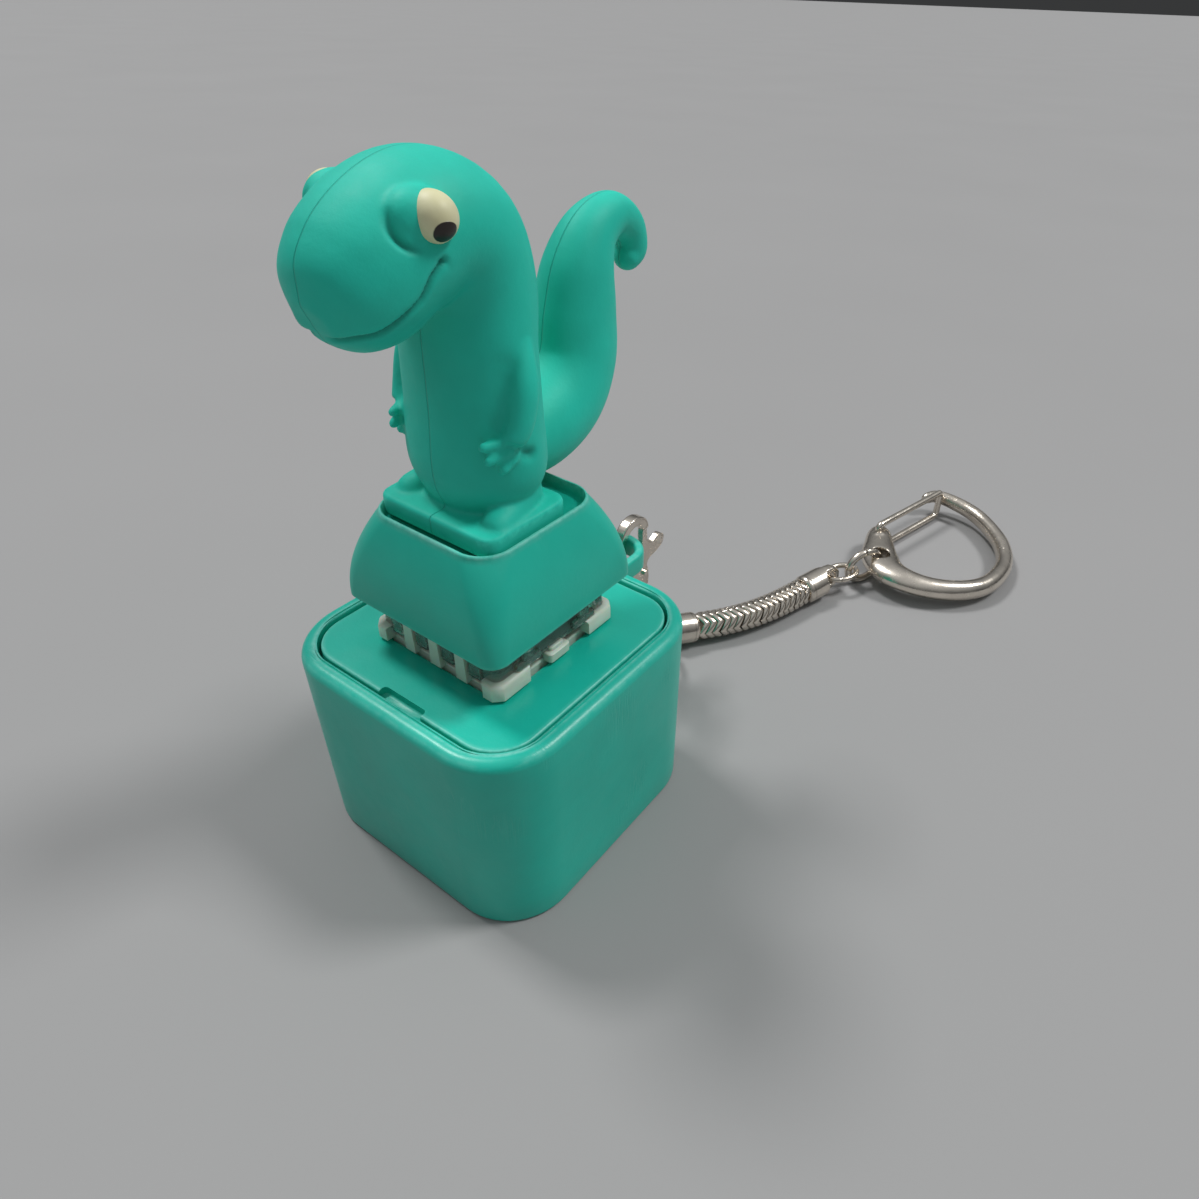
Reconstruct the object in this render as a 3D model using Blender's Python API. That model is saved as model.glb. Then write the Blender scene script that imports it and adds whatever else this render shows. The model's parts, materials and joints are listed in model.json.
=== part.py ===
"""Key-switch clicker keyring with a long-necked toy figure.

A square case carries one mechanical key switch in an inset top plate.  The keycap on the
switch carries a soft figure.  A lobster clasp hangs from a lug on the back of the case and
leads through a jump ring, a short snake chain and two links to a D-shaped snap hook.

The origin is the centre of the case's underside, +Z is up, and the figure looks along -Y.
Every dimension below is in millimetres; new_object() turns them into metres.
"""

import math

import bmesh
import bpy
from mathutils import Vector

MM = 0.001
GAP = 0.3                        # clearance left between two pieces that rest on each other

# Case
CASE_HALF = 14.3                 # half width at the top of the side walls
CASE_FOOT_HALF = 14.1            # half width at the foot, after the moulding draft
CASE_CORNER = 6.6
CASE_FOOT_CORNER = 6.3
CASE_HEIGHT = 20.6
CASE_FOOT_CHAMFER = 0.4
CASE_TOP_FILLET = 0.9
CASE_FLOOR = 1.6                 # thickness of the case's underside
CAVITY_HALF = 11.2
CAVITY_CORNER = 2.9
LEDGE_WIDTH = 1.3                # ledge that the top plate rests on
MOUTH_CHAMFER = 0.15

# Lug on the back wall
LUG_HALF_WIDTH = 3.4
LUG_BOTTOM = 17.9
LUG_TOP = 20.3
LUG_HOLE = (17.5, 2.0)           # centre along Y, radius
LUG_BAR = 1.0                    # bar between the hole and the lug's outer end
LUG_EDGE = 0.35                  # rounding of the lug's edges
LUG_PIVOT = (LUG_HOLE[0] + LUG_HOLE[1] + LUG_BAR / 2, (LUG_BOTTOM + LUG_TOP) / 2)

# Top plate
PLATE_HALF = 12.3
PLATE_CORNER = 4.0
PLATE_TOP = 20.45
PLATE_THICKNESS = 1.5
PLATE_CHAMFER = 0.2
SWITCH_BODY_HALF = 6.85
NOTCH = (-1.8, 3.3, 0.75, 0.8)   # pry notch: low X, high X, depth in from the edge, height

# Key switch
FLANGE_HALF = 7.8
FLANGE_THICKNESS = 0.9
HOUSING_BOTTOM = 15.45
HOUSING_WALL = 0.95
HOUSING_CORNER = 0.5
FLANGE_CORNER = 0.8
UPPER_WALL = 0.8
HOUSING_TOP = 27.05
UPPER_FOOT_HALF = 7.2
UPPER_TOP_HALF = (5.3, 4.9)
STEM_HALF = (3.5, 2.7)
STEM_BOTTOM = 20.8
STEM_CROSS_TOP = 30.65
STEM_CROSS = (4.1, 1.25)         # length and thickness of the cross's arms
GUIDE_POST = (2.0, 12.15)        # locating post under the switch: radius, lowest point
SPRING_POST = (1.1, 20.2)        # post inside the switch: radius, highest point
SPRING = (1.75, 0.17, 6, 16.8, 23.9)   # coil radius, wire radius, turns, foot, top
SPRING_WELL = (2.3, 24.2)        # hollow in the stem's underside: radius, ceiling
CONTACT_X = -5.4
LEAF_X = -4.5
LEAF_PIVOT_Z = 16.0
CONTACT_THICKNESS = 0.25
CONTACT_WIDTH = 1.6
CONTACT_Y = 2.0                  # the two pins stand at -CONTACT_Y and +CONTACT_Y
BLADE_REACH = 3.4
PIN_BOTTOM = 12.2

# Keycap
CAP_BASE_HALF = 9.1
CAP_BASE_CORNER = 1.6
CAP_BASE = 25.66
CAP_RIM_HALF = 7.05
CAP_RIM_CORNER = 3.0
CAP_RIM = 34.0
CAP_RECESS = 1.0
CAP_RECESS_HALF = 6.65
CAP_WALL = 1.2
CAP_CEILING = 31.4
CAP_BOSS = 2.7                   # radius of the boss that grips the stem
CAP_BULGE = 0.6                  # how far the sides stand out of a straight taper
SOCKET_CLEARANCE = 0.2

# Figure
FOOT_HALF = 6.3
FOOT_TOP = 35.0
FOOT_CENTRE_Y = -0.9
EYE_BUMP = (4.6, -6.3, 58.2)     # centre of the right eye bump
EYE_BUMP_RADIUS = 2.4

# Clasp, in the plane X = 0
CLASP_THICKNESS = 1.8
CLASP_EYE = (21.2, 7.6)
CLASP_EYE_HOLE = 1.0
LEVER_PIVOT = (22.4, 14.3)
LEVER_THICKNESS = 0.6
PIN_RADIUS = 0.35
PIN_CLEARANCE = 0.15
SLOT_HALF = 0.5

# Chain
CHAIN_RADIUS = 1.85
CHAIN_Z = 2.0
CHAIN_SEGMENTS = 6
CHAIN_SEGMENT_GAP = 0.6
SEGMENT_CHAMFER = 0.45
CAP_RADIUS = 2.0
CAP_BODY_LENGTH = 2.9
EYE_OFFSET = 2.0                 # from a cap's body to the centre of its eye
EYE_TAB = 1.2                    # thickness of a cap's eye tab
EYE_HOLE = 0.95
JUMP_WIRE = 0.4
CHAIN_START = Vector((3.1, 31.0, CHAIN_Z))
CHAIN_MIDDLE = (Vector((5.2, 33.7, CHAIN_Z)), Vector((7.1, 36.9, CHAIN_Z)),
                Vector((8.5, 40.0, CHAIN_Z)), Vector((9.5, 43.0, CHAIN_Z)))
CHAIN_END = Vector((10.3, 46.0, CHAIN_Z))
NEAR_CAP_AXIS = Vector((-0.54, -0.84, 0.1))
FAR_CAP_AXIS = Vector((0.31, 0.95, 0.08))

# Links and D-shaped hook
LINK_1 = (4.6, 3.2, 0.4)         # centreline length, centreline width, wire radius
LINK_OVERLAP = 1.1               # from link 1's far bend to link 2's near bend
LINK_2_HEIGHT = 4.4
LINK_2_WIRE = 0.45
HOOK_HOLE = Vector((16.1, 58.8, 2.75))
HOOK_HOLE_RADIUS = 1.35
GATE_PIVOT = Vector((13.4, 64.3, 2.75))
GATE_TIP = Vector((17.2, 80.0, 2.75))
GATE_WIRE = 0.45
GATE_HALF_HEIGHT = 2.15
GATE_BEND = 0.6
GATE_END_GAP = 1.0               # from the base's middle plane to each end of the wire

COLOURS = {                      # base colour, roughness, metallic value
    "teal_plastic": ((0.03, 0.45, 0.36), 0.35, 0.0),
    "teal_rubber": ((0.05, 0.52, 0.40), 0.6, 0.0),
    "milky_plastic": ((0.75, 0.82, 0.74), 0.35, 0.0),
    "clear_plastic": ((0.80, 0.86, 0.84), 0.1, 0.0),
    "stem_plastic": ((0.06, 0.16, 0.35), 0.4, 0.0),
    "contact_copper": ((0.72, 0.42, 0.22), 0.3, 1.0),
    "spring_steel": ((0.62, 0.61, 0.58), 0.3, 1.0),
    "nickel": ((0.66, 0.61, 0.54), 0.25, 1.0),
}


# ---------------------------------------------------------------- tools

def clear_scene():
    """Remove every object that the file starts with."""
    for obj in list(bpy.data.objects):
        bpy.data.objects.remove(obj, do_unlink=True)


def finish(name):
    """Return the Principled material of that name, made on first use."""
    if name in bpy.data.materials:
        return bpy.data.materials[name]
    colour, roughness, metallic = COLOURS[name]
    material = bpy.data.materials.new(name)
    material.use_nodes = True
    shader = material.node_tree.nodes["Principled BSDF"]
    shader.inputs["Base Color"].default_value = (*colour, 1.0)
    shader.inputs["Roughness"].default_value = roughness
    shader.inputs["Metallic"].default_value = metallic
    material.diffuse_color = (*colour, 1.0)
    return material


def new_object(name, bm, finish_name, pivot=(0, 0, 0)):
    """Make an object from a millimetre bmesh, with its origin at the pivot."""
    bmesh.ops.recalc_face_normals(bm, faces=bm.faces)
    bmesh.ops.translate(bm, verts=bm.verts, vec=-Vector(pivot))
    bmesh.ops.scale(bm, verts=bm.verts, vec=(MM, MM, MM))
    mesh = bpy.data.meshes.new(name)
    bm.to_mesh(mesh)
    bm.free()
    mesh.materials.append(finish(finish_name))
    mesh.shade_smooth()
    mesh.set_sharp_from_angle(angle=math.radians(35))
    obj = bpy.data.objects.new(name, mesh)
    obj.location = Vector(pivot) * MM
    bpy.context.collection.objects.link(obj)
    return obj


def combine(target, name, bm, operation):
    """Join a tool shape to the target, or cut it away, with a live Boolean."""
    tool = new_object(name, bm, "teal_plastic")
    tool.hide_render = True
    tool.display_type = "WIRE"
    modifier = target.modifiers.new(name, "BOOLEAN")
    modifier.operation = operation
    modifier.solver = "EXACT"
    modifier.object = tool


def loft(rings, closed=False):
    """Skin a stack of rings that have equal point counts."""
    bm = bmesh.new()
    loops = [[bm.verts.new(point) for point in ring] for ring in rings]
    pairs = list(zip(loops, loops[1:]))
    if closed:
        pairs.append((loops[-1], loops[0]))
    for lower, upper in pairs:
        count = len(lower)
        for i in range(count):
            j = (i + 1) % count
            bm.faces.new((lower[i], lower[j], upper[j], upper[i]))
    if not closed:
        bm.faces.new(list(reversed(loops[0])))
        bm.faces.new(loops[-1])
    return bm


def rounded_rectangle(half_x, half_y, corner, z, steps=6):
    """Outline of a rounded rectangle at height z."""
    points = []
    for quadrant, (sign_x, sign_y) in enumerate(((1, 1), (-1, 1), (-1, -1), (1, -1))):
        centre_x = sign_x * (half_x - corner)
        centre_y = sign_y * (half_y - corner)
        for i in range(steps + 1):
            angle = math.radians(90 * (quadrant + i / steps))
            points.append(Vector((centre_x + corner * math.cos(angle),
                                  centre_y + corner * math.sin(angle), z)))
    return points


def rounded_square(half, corner, z):
    """Outline of a rounded square at height z."""
    return rounded_rectangle(half, half, corner, z)


def circle(centre, radius, across, up, sides):
    """Points of a circle spanned by two unit vectors."""
    step = 2 * math.pi / sides
    return [centre + across * radius * math.cos(i * step) + up * radius * math.sin(i * step)
            for i in range(sides)]


def box(low, high):
    """A box between two corners."""
    corners = ((low[0], low[1]), (high[0], low[1]), (high[0], high[1]), (low[0], high[1]))
    return loft([[Vector((x, y, z)) for x, y in corners] for z in (low[2], high[2])])


def rod(start, end, radius, sides=16):
    """A round bar from start to end."""
    start, end = Vector(start), Vector(end)
    across = (end - start).orthogonal().normalized()
    up = (end - start).normalized().cross(across)
    return loft([circle(start, radius, across, up, sides), circle(end, radius, across, up, sides)])


def turned(profile, start, axis, sides=20):
    """Turn (distance, radius) pairs about an axis through start."""
    axis = axis.normalized()
    across = axis.orthogonal().normalized()
    up = axis.cross(across)
    return loft([circle(start + axis * along, radius, across, up, sides)
                 for along, radius in profile])


def slab(outline, half_thickness):
    """Extrude an outline of (y, z) pairs to both sides of the plane X = 0."""
    return loft([[Vector((x, y, z)) for y, z in outline]
                 for x in (-half_thickness, half_thickness)])


def smooth_rows(rows, steps, closed=False):
    """Pass a Catmull-Rom curve through rows of numbers, with steps points to each span."""
    rows = [Vector(row) for row in rows]
    count = len(rows)
    spans = count if closed else count - 1
    result = []
    for i in range(spans):
        if closed:
            p0, p1, p2, p3 = (rows[(i + k - 1) % count] for k in range(4))
        else:
            p0, p1, p2, p3 = (rows[min(max(i + k - 1, 0), count - 1)] for k in range(4))
        for k in range(steps):
            t = k / steps
            result.append(0.5 * (2 * p1 + (p2 - p0) * t + (2 * p0 - 5 * p1 + 4 * p2 - p3) * t ** 2
                                 + (3 * p1 - p0 - 3 * p2 + p3) * t ** 3))
    if not closed:
        result.append(rows[-1])
    return result


def sweep(path, radii, normal, sides, closed=False):
    """Skin a tube along a flat path; radii are pairs: across the path's plane and within it."""
    normal = normal.normalized()
    count = len(path)
    rings = []
    for i, point in enumerate(path):
        before = path[i - 1] if closed or i > 0 else point
        after = path[(i + 1) % count] if closed or i < count - 1 else point
        side = (after - before).normalized().cross(normal)
        across, within = radii[i]
        ring = []
        for k in range(sides):
            angle = 2 * math.pi * k / sides
            ring.append(point + normal * across * math.cos(angle) + side * within * math.sin(angle))
        rings.append(ring)
    return loft(rings, closed)


def oval_ring(centre, along, side, length, width, wire, sides=10, turns=28):
    """A closed wire link whose centreline is an oval of that length and width."""
    path = []
    for i in range(turns):
        angle = 2 * math.pi * i / turns
        path.append(centre + along * (length / 2 * math.cos(angle))
                    + side * (width / 2 * math.sin(angle)))
    return sweep(path, [(wire, wire)] * turns, along.cross(side), sides, closed=True)


# ---------------------------------------------------------------- case and top plate

def build_case():
    """Open-topped case with a ledge for the plate, and the lug on its back wall."""
    side_top = CASE_HEIGHT - CASE_TOP_FILLET
    ledge = PLATE_TOP - PLATE_THICKNESS - GAP
    mouth = PLATE_HALF + GAP
    foot_half = CASE_FOOT_HALF - CASE_FOOT_CHAMFER
    rings = [rounded_square(foot_half, CASE_FOOT_CORNER - CASE_FOOT_CHAMFER, 0),
             rounded_square(CASE_FOOT_HALF, CASE_FOOT_CORNER, CASE_FOOT_CHAMFER),
             rounded_square(CASE_HALF, CASE_CORNER, side_top)]
    for degrees in (30, 60, 90):
        angle = math.radians(degrees)
        inset = CASE_TOP_FILLET * (1 - math.cos(angle))
        rings.append(rounded_square(CASE_HALF - inset, CASE_CORNER - inset,
                                    side_top + CASE_TOP_FILLET * math.sin(angle)))
    mouth_corner = PLATE_CORNER + GAP
    rings += [rounded_square(mouth + MOUTH_CHAMFER, mouth_corner + MOUTH_CHAMFER, CASE_HEIGHT),
              rounded_square(mouth, mouth_corner, CASE_HEIGHT - MOUTH_CHAMFER),
              rounded_square(mouth, mouth_corner, ledge),
              rounded_square(mouth - LEDGE_WIDTH, mouth_corner - LEDGE_WIDTH, ledge),
              rounded_square(CAVITY_HALF, CAVITY_CORNER, CASE_FLOOR)]
    case = new_object("case_shell", loft(rings), "teal_plastic")

    hole_y, hole_radius = LUG_HOLE
    outer_radius = hole_radius + LUG_BAR
    root_y = CASE_HALF - 0.8
    outline = [(LUG_HALF_WIDTH, root_y)]
    for i in range(13):
        angle = math.radians(15 * i)
        outline.append((LUG_HALF_WIDTH * math.cos(angle), hole_y + outer_radius * math.sin(angle)))
    outline.append((-LUG_HALF_WIDTH, root_y))
    lug_rings = []
    for inset, z in ((LUG_EDGE, LUG_BOTTOM), (0.0, LUG_BOTTOM + LUG_EDGE),
                     (0.0, LUG_TOP - LUG_EDGE), (LUG_EDGE, LUG_TOP)):
        scale = 1 - inset / LUG_HALF_WIDTH
        lug_rings.append([Vector((x * scale, hole_y + (y - hole_y) * scale, z))
                          for x, y in outline])
    combine(case, "lug_shape", loft(lug_rings), "UNION")
    combine(case, "lug_hole_cutter",
            rod((0, hole_y, LUG_BOTTOM - 1), (0, hole_y, LUG_TOP + 1), hole_radius, 24),
            "DIFFERENCE")


def build_plate():
    """Inset top plate with the switch's square hole and the pry notch."""
    bottom = PLATE_TOP - PLATE_THICKNESS
    hole_half = SWITCH_BODY_HALF + GAP
    rings = [rounded_square(PLATE_HALF, PLATE_CORNER, bottom),
             rounded_square(PLATE_HALF, PLATE_CORNER, PLATE_TOP - PLATE_CHAMFER),
             rounded_square(PLATE_HALF - PLATE_CHAMFER, PLATE_CORNER - PLATE_CHAMFER, PLATE_TOP),
             rounded_square(hole_half, HOUSING_CORNER, PLATE_TOP),
             rounded_square(hole_half, HOUSING_CORNER, bottom)]
    plate = new_object("switch_plate", loft(rings, closed=True), "teal_plastic")
    low_x, high_x, depth, height = NOTCH
    cutter = box((low_x, -PLATE_HALF - 1, PLATE_TOP - height),
                 (high_x, -PLATE_HALF + depth, PLATE_TOP + 1))
    combine(plate, "notch_cutter", cutter, "DIFFERENCE")


# ---------------------------------------------------------------- key switch

def build_lower_housing():
    """Lower housing: flange, cup, locating post below and spring post inside."""
    flange_bottom = PLATE_TOP + GAP
    flange_top = flange_bottom + FLANGE_THICKNESS
    inner = SWITCH_BODY_HALF - HOUSING_WALL
    floor = HOUSING_BOTTOM + 1.0
    rings = [rounded_square(SWITCH_BODY_HALF - 0.3, 0.4, HOUSING_BOTTOM),
             rounded_square(SWITCH_BODY_HALF, HOUSING_CORNER, HOUSING_BOTTOM + 0.4),
             rounded_square(SWITCH_BODY_HALF, HOUSING_CORNER, flange_bottom),
             rounded_square(FLANGE_HALF, FLANGE_CORNER, flange_bottom),
             rounded_square(FLANGE_HALF, FLANGE_CORNER, flange_top),
             rounded_square(inner, HOUSING_CORNER, flange_top),
             rounded_square(inner, HOUSING_CORNER, floor)]
    housing = new_object("switch_lower_housing", loft(rings), "milky_plastic")
    radius, low = GUIDE_POST
    combine(housing, "guide_post_shape",
            rod((0, 0, low), (0, 0, HOUSING_BOTTOM + 0.5), radius, 20), "UNION")
    radius, high = SPRING_POST
    combine(housing, "spring_post_shape",
            rod((0, 0, HOUSING_BOTTOM + 0.3), (0, 0, high), radius, 16), "UNION")
    for name, x, y in (("fixed_pin_cutter", CONTACT_X, -CONTACT_Y),
                       ("leaf_pin_cutter", LEAF_X, CONTACT_Y)):
        half_x = CONTACT_THICKNESS / 2 + 0.2
        half_y = CONTACT_WIDTH / 4 + 0.25
        cutter = box((x - half_x, y - half_y, HOUSING_BOTTOM - 1),
                     (x + half_x, y + half_y, floor + 1))
        combine(housing, name, cutter, "DIFFERENCE")


def build_upper_housing():
    """Clear upper housing: a tapered cover with the stem's opening in its top."""
    foot = PLATE_TOP + 2 * GAP + FLANGE_THICKNESS
    top_x, top_y = UPPER_TOP_HALF
    opening_x = STEM_HALF[0] + 0.3
    opening_y = STEM_HALF[1] + 0.3
    rings = [rounded_square(UPPER_FOOT_HALF, FLANGE_CORNER, foot),
             rounded_square(UPPER_FOOT_HALF - 0.2, FLANGE_CORNER, foot + 1.6),
             rounded_rectangle(top_x, top_y, 0.9, HOUSING_TOP - 0.3),
             rounded_rectangle(top_x - 0.3, top_y - 0.3, 0.8, HOUSING_TOP),
             rounded_rectangle(opening_x, opening_y, 0.4, HOUSING_TOP),
             rounded_rectangle(opening_x, opening_y, 0.4, HOUSING_TOP - UPPER_WALL),
             rounded_square(UPPER_FOOT_HALF - UPPER_WALL - 0.2, HOUSING_CORNER, foot + 1.4),
             rounded_square(UPPER_FOOT_HALF - UPPER_WALL, HOUSING_CORNER, foot)]
    new_object("switch_upper_housing", loft(rings, closed=True), "clear_plastic")


def build_contacts():
    """Fixed contact and springy leaf, each with its pin through the housing's floor."""
    half = CONTACT_THICKNESS / 2
    for name, x, y, top, pivot in (
            ("fixed_contact", CONTACT_X, -CONTACT_Y, 19.4, (0, 0, 0)),
            ("moving_contact", LEAF_X, CONTACT_Y, 20.4, (LEAF_X, 0, LEAF_PIVOT_Z))):
        blade_low = HOUSING_BOTTOM + 1.0 + GAP
        reach = -math.copysign(BLADE_REACH, y)
        pin = (y - CONTACT_WIDTH / 4, y + CONTACT_WIDTH / 4)
        blade = (min(pin[0], reach), max(pin[1], reach))
        outline = [(pin[0], PIN_BOTTOM), (pin[1], PIN_BOTTOM), (pin[1], blade_low),
                   (blade[1], blade_low), (blade[1], top), (blade[0], top),
                   (blade[0], blade_low), (pin[0], blade_low)]
        distinct = [point for i, point in enumerate(outline) if point != outline[i - 1]]
        bm = loft([[Vector((x + offset, yy, z)) for yy, z in distinct]
                   for offset in (-half, half)])
        new_object(name, bm, "contact_copper", pivot)


def build_stem():
    """Sliding stem: block with a spring well below and the keycap's cross on top."""
    half_x, half_y = STEM_HALF
    block_top = HOUSING_TOP - 0.05
    well_radius, well_top = SPRING_WELL
    rings = [rounded_rectangle(half_x, half_y, 0.3, STEM_BOTTOM),
             rounded_rectangle(half_x, half_y, 0.3, block_top)]
    stem = new_object("switch_stem", loft(rings), "stem_plastic")
    length, thickness = STEM_CROSS
    for name, x, y in (("cross_bar_x", length / 2, thickness / 2),
                       ("cross_bar_y", thickness / 2, length / 2)):
        combine(stem, name, box((-x, -y, block_top - 0.5), (x, y, STEM_CROSS_TOP)), "UNION")
    combine(stem, "spring_well_cutter",
            rod((0, 0, STEM_BOTTOM - 1), (0, 0, well_top), well_radius, 20), "DIFFERENCE")


def build_return_spring():
    """Coil spring between the housing's floor and the stem."""
    radius, wire, turns, low, high = SPRING
    steps = 14
    count = turns * steps + 1
    rings = []
    for i in range(count):
        angle = 2 * math.pi * i / steps
        outward = Vector((math.cos(angle), math.sin(angle), 0))
        centre = outward * radius
        centre.z = low + wire + (high - low - 2 * wire) * i / (count - 1)
        rings.append(circle(centre, wire, outward, Vector((0, 0, 1)), 5))
    new_object("return_spring", loft(rings), "spring_steel")


def build_keycap():
    """Keycap: tapered shell with a shallow recess on top and the stem socket inside."""
    height = CAP_RIM - CAP_BASE
    rings = [rounded_square(5.6, 1.2, CAP_CEILING),
             rounded_square(CAP_BASE_HALF - CAP_WALL, 0.8, CAP_BASE)]
    for step in range(6):
        t = step / 5
        bulge = CAP_BULGE * 4 * t * (1 - t)
        half = CAP_BASE_HALF + (CAP_RIM_HALF - CAP_BASE_HALF) * t + bulge
        corner = CAP_BASE_CORNER + (CAP_RIM_CORNER - CAP_BASE_CORNER) * t
        rings.append(rounded_square(half, corner, CAP_BASE + (height - 0.25) * t))
    rings += [rounded_square(CAP_RIM_HALF - 0.2, CAP_RIM_CORNER - 0.2, CAP_RIM),
              rounded_square(CAP_RECESS_HALF + 0.15, CAP_RIM_CORNER - 0.4, CAP_RIM),
              rounded_square(CAP_RECESS_HALF, CAP_RIM_CORNER - 0.5, CAP_RIM - CAP_RECESS)]
    cap = new_object("keycap", loft(rings), "teal_plastic")
    combine(cap, "boss_shape",
            rod((0, 0, HOUSING_TOP + GAP), (0, 0, CAP_CEILING + 0.6), CAP_BOSS, 24), "UNION")
    length, thickness = STEM_CROSS
    long_half = length / 2 + SOCKET_CLEARANCE
    thin_half = thickness / 2 + SOCKET_CLEARANCE
    for name, x, y in (("socket_cutter_x", long_half, thin_half),
                       ("socket_cutter_y", thin_half, long_half)):
        combine(cap, name, box((-x, -y, CAP_BASE), (x, y, STEM_CROSS_TOP + GAP)), "DIFFERENCE")


# ---------------------------------------------------------------- figure

def body_tube(stations, sides):
    """Skin a limb along rows of (x, y, z, half width in X, half depth); rounded at both ends."""
    rows = smooth_rows(stations, 3)
    path = [Vector(row[:3]) for row in rows]
    radii = [(row[3], row[4]) for row in rows]
    return sweep(path, radii, Vector((1, 0, 0)), sides)


def build_figure():
    """Long-necked toy animal, sitting upright on a foot slab in the keycap's recess."""
    neck = ((0, 0.0, 34.2, 4.6, 3.6), (0, -0.2, 35.6, 5.9, 4.4), (0, -0.3, 39.0, 6.3, 4.6),
            (0, -0.2, 43.5, 6.2, 4.4), (0, -0.1, 48.0, 6.0, 4.3), (0, 0.2, 52.0, 5.7, 4.6),
            (0, -0.9, 55.4, 5.6, 4.9), (0, -3.6, 56.6, 5.6, 4.9), (0, -6.6, 55.7, 5.5, 4.9),
            (0, -9.2, 54.0, 5.0, 4.6), (0, -11.2, 52.8, 3.8, 3.5), (0, -12.4, 52.2, 1.7, 1.5))
    tail = ((0, 2.0, 38.6, 4.0, 3.6), (0, 5.8, 39.0, 4.4, 4.2), (0, 9.4, 40.4, 4.2, 4.4),
            (0, 11.6, 43.2, 3.8, 4.2), (0, 12.2, 47.0, 3.4, 3.9), (0, 12.8, 50.4, 3.0, 3.3),
            (0, 14.3, 53.0, 2.4, 2.5), (0, 17.0, 54.1, 1.9, 1.9), (0, 19.4, 52.9, 1.6, 1.6),
            (0, 20.2, 50.8, 1.4, 1.4), (0, 19.3, 49.3, 0.8, 0.8))
    figure = new_object("figure_body", body_tube(neck, 20), "teal_rubber")
    combine(figure, "tail_shape", body_tube(tail, 16), "UNION")
    floor = CAP_RIM - CAP_RECESS + GAP
    feet = []
    for inset, corner, z in ((0.1, 1.6, floor), (0.0, 1.6, FOOT_TOP - 0.4), (0.3, 1.4, FOOT_TOP)):
        half = FOOT_HALF - inset
        feet.append([point + Vector((0, FOOT_CENTRE_Y, 0))
                     for point in rounded_rectangle(half, half - 2.2, corner, z)])
    combine(figure, "feet_shape", loft(feet), "UNION")
    for side, label in ((-1, "left"), (1, "right")):
        arm = [Vector((side * 5.0, 0.2, 49.0)), Vector((side * 5.7, -0.6, 46.0)),
               Vector((side * 5.9, -1.4, 43.0)), Vector((side * 5.3, -3.2, 41.6))]
        radii = [(1.0, 1.0), (1.25, 1.25), (1.15, 1.15), (0.8, 0.8)]
        combine(figure, f"arm_shape_{label}", sweep(arm, radii, Vector((1, 0, 0)), 10), "UNION")
        eye_x, eye_y, eye_z = EYE_BUMP
        eye = turned([(-2.0, 0.8), (-1.2, 1.9), (0, EYE_BUMP_RADIUS), (1.2, 1.9), (1.9, 0.8)],
                     Vector((side * eye_x, eye_y, eye_z)), Vector((side, -0.3, 0.3)), 14)
        combine(figure, f"eye_shape_{label}", eye, "UNION")


# ---------------------------------------------------------------- lobster clasp

def build_clasp():
    """Clasp body with its lever, lever pin and leaf spring, hanging in the plane X = 0."""
    outline = ((23.15, 20.2), (22.5, 21.6), (20.7, 22.3), (18.9, 21.6), (18.0, 19.6),
               (18.3, 16.6), (19.0, 13.6), (19.6, 10.6), (19.6, 8.0), (20.1, 6.5), (21.2, 5.9),
               (22.3, 6.5), (22.8, 8.0), (23.0, 10.6), (23.4, 13.0), (23.2, 14.6),
               (22.4, 15.8), (21.0, 16.0), (19.6, 16.7), (19.0, 18.8), (19.25, 20.3),
               (19.9, 21.0), (20.7, 21.2), (21.6, 21.0), (22.25, 20.1))
    bm = slab(outline, CLASP_THICKNESS / 2)
    clasp = new_object("clasp_body", bm, "nickel", (0, *LUG_PIVOT))
    bevel = clasp.modifiers.new("edge_round", "BEVEL")
    bevel.width = 0.3 * MM
    bevel.segments = 2
    bevel.limit_method = "ANGLE"
    bevel.angle_limit = math.radians(50)
    eye_y, eye_z = CLASP_EYE
    combine(clasp, "clasp_eye_cutter",
            rod((-3, eye_y, eye_z), (3, eye_y, eye_z), CLASP_EYE_HOLE, 20), "DIFFERENCE")
    combine(clasp, "lever_slot_cutter", box((-SLOT_HALF, 20.8, 12.5), (SLOT_HALF, 25, 17)),
            "DIFFERENCE")
    pivot_y, pivot_z = LEVER_PIVOT
    combine(clasp, "pin_hole_cutter",
            rod((-3, pivot_y, pivot_z), (3, pivot_y, pivot_z), PIN_RADIUS + PIN_CLEARANCE, 16),
            "DIFFERENCE")

    lever_outline = ((22.35, 19.5), (23.05, 19.5), (23.35, 18.2), (24.2, 17.4), (25.6, 17.9),
                     (26.5, 17.3), (26.3, 16.3), (24.9, 15.7), (23.5, 15.3), (23.1, 13.7),
                     (22.4, 13.3), (21.75, 13.8), (21.75, 14.9), (22.1, 16.2), (22.35, 17.8))
    lever = new_object("clasp_lever", slab(lever_outline, LEVER_THICKNESS / 2), "nickel",
                       (0, pivot_y, pivot_z))
    combine(lever, "lever_hole_cutter",
            rod((-3, pivot_y, pivot_z), (3, pivot_y, pivot_z), PIN_RADIUS + PIN_CLEARANCE, 16),
            "DIFFERENCE")
    half = CLASP_THICKNESS / 2
    new_object("clasp_pin", rod((-half, pivot_y, pivot_z), (half, pivot_y, pivot_z), PIN_RADIUS),
               "nickel")
    strip = ((21.0, 12.8), (21.2, 12.8), (21.3, 15.2), (21.1, 15.2))
    new_object("clasp_spring", slab(strip, 0.3), "spring_steel")


# ---------------------------------------------------------------- chain

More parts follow.
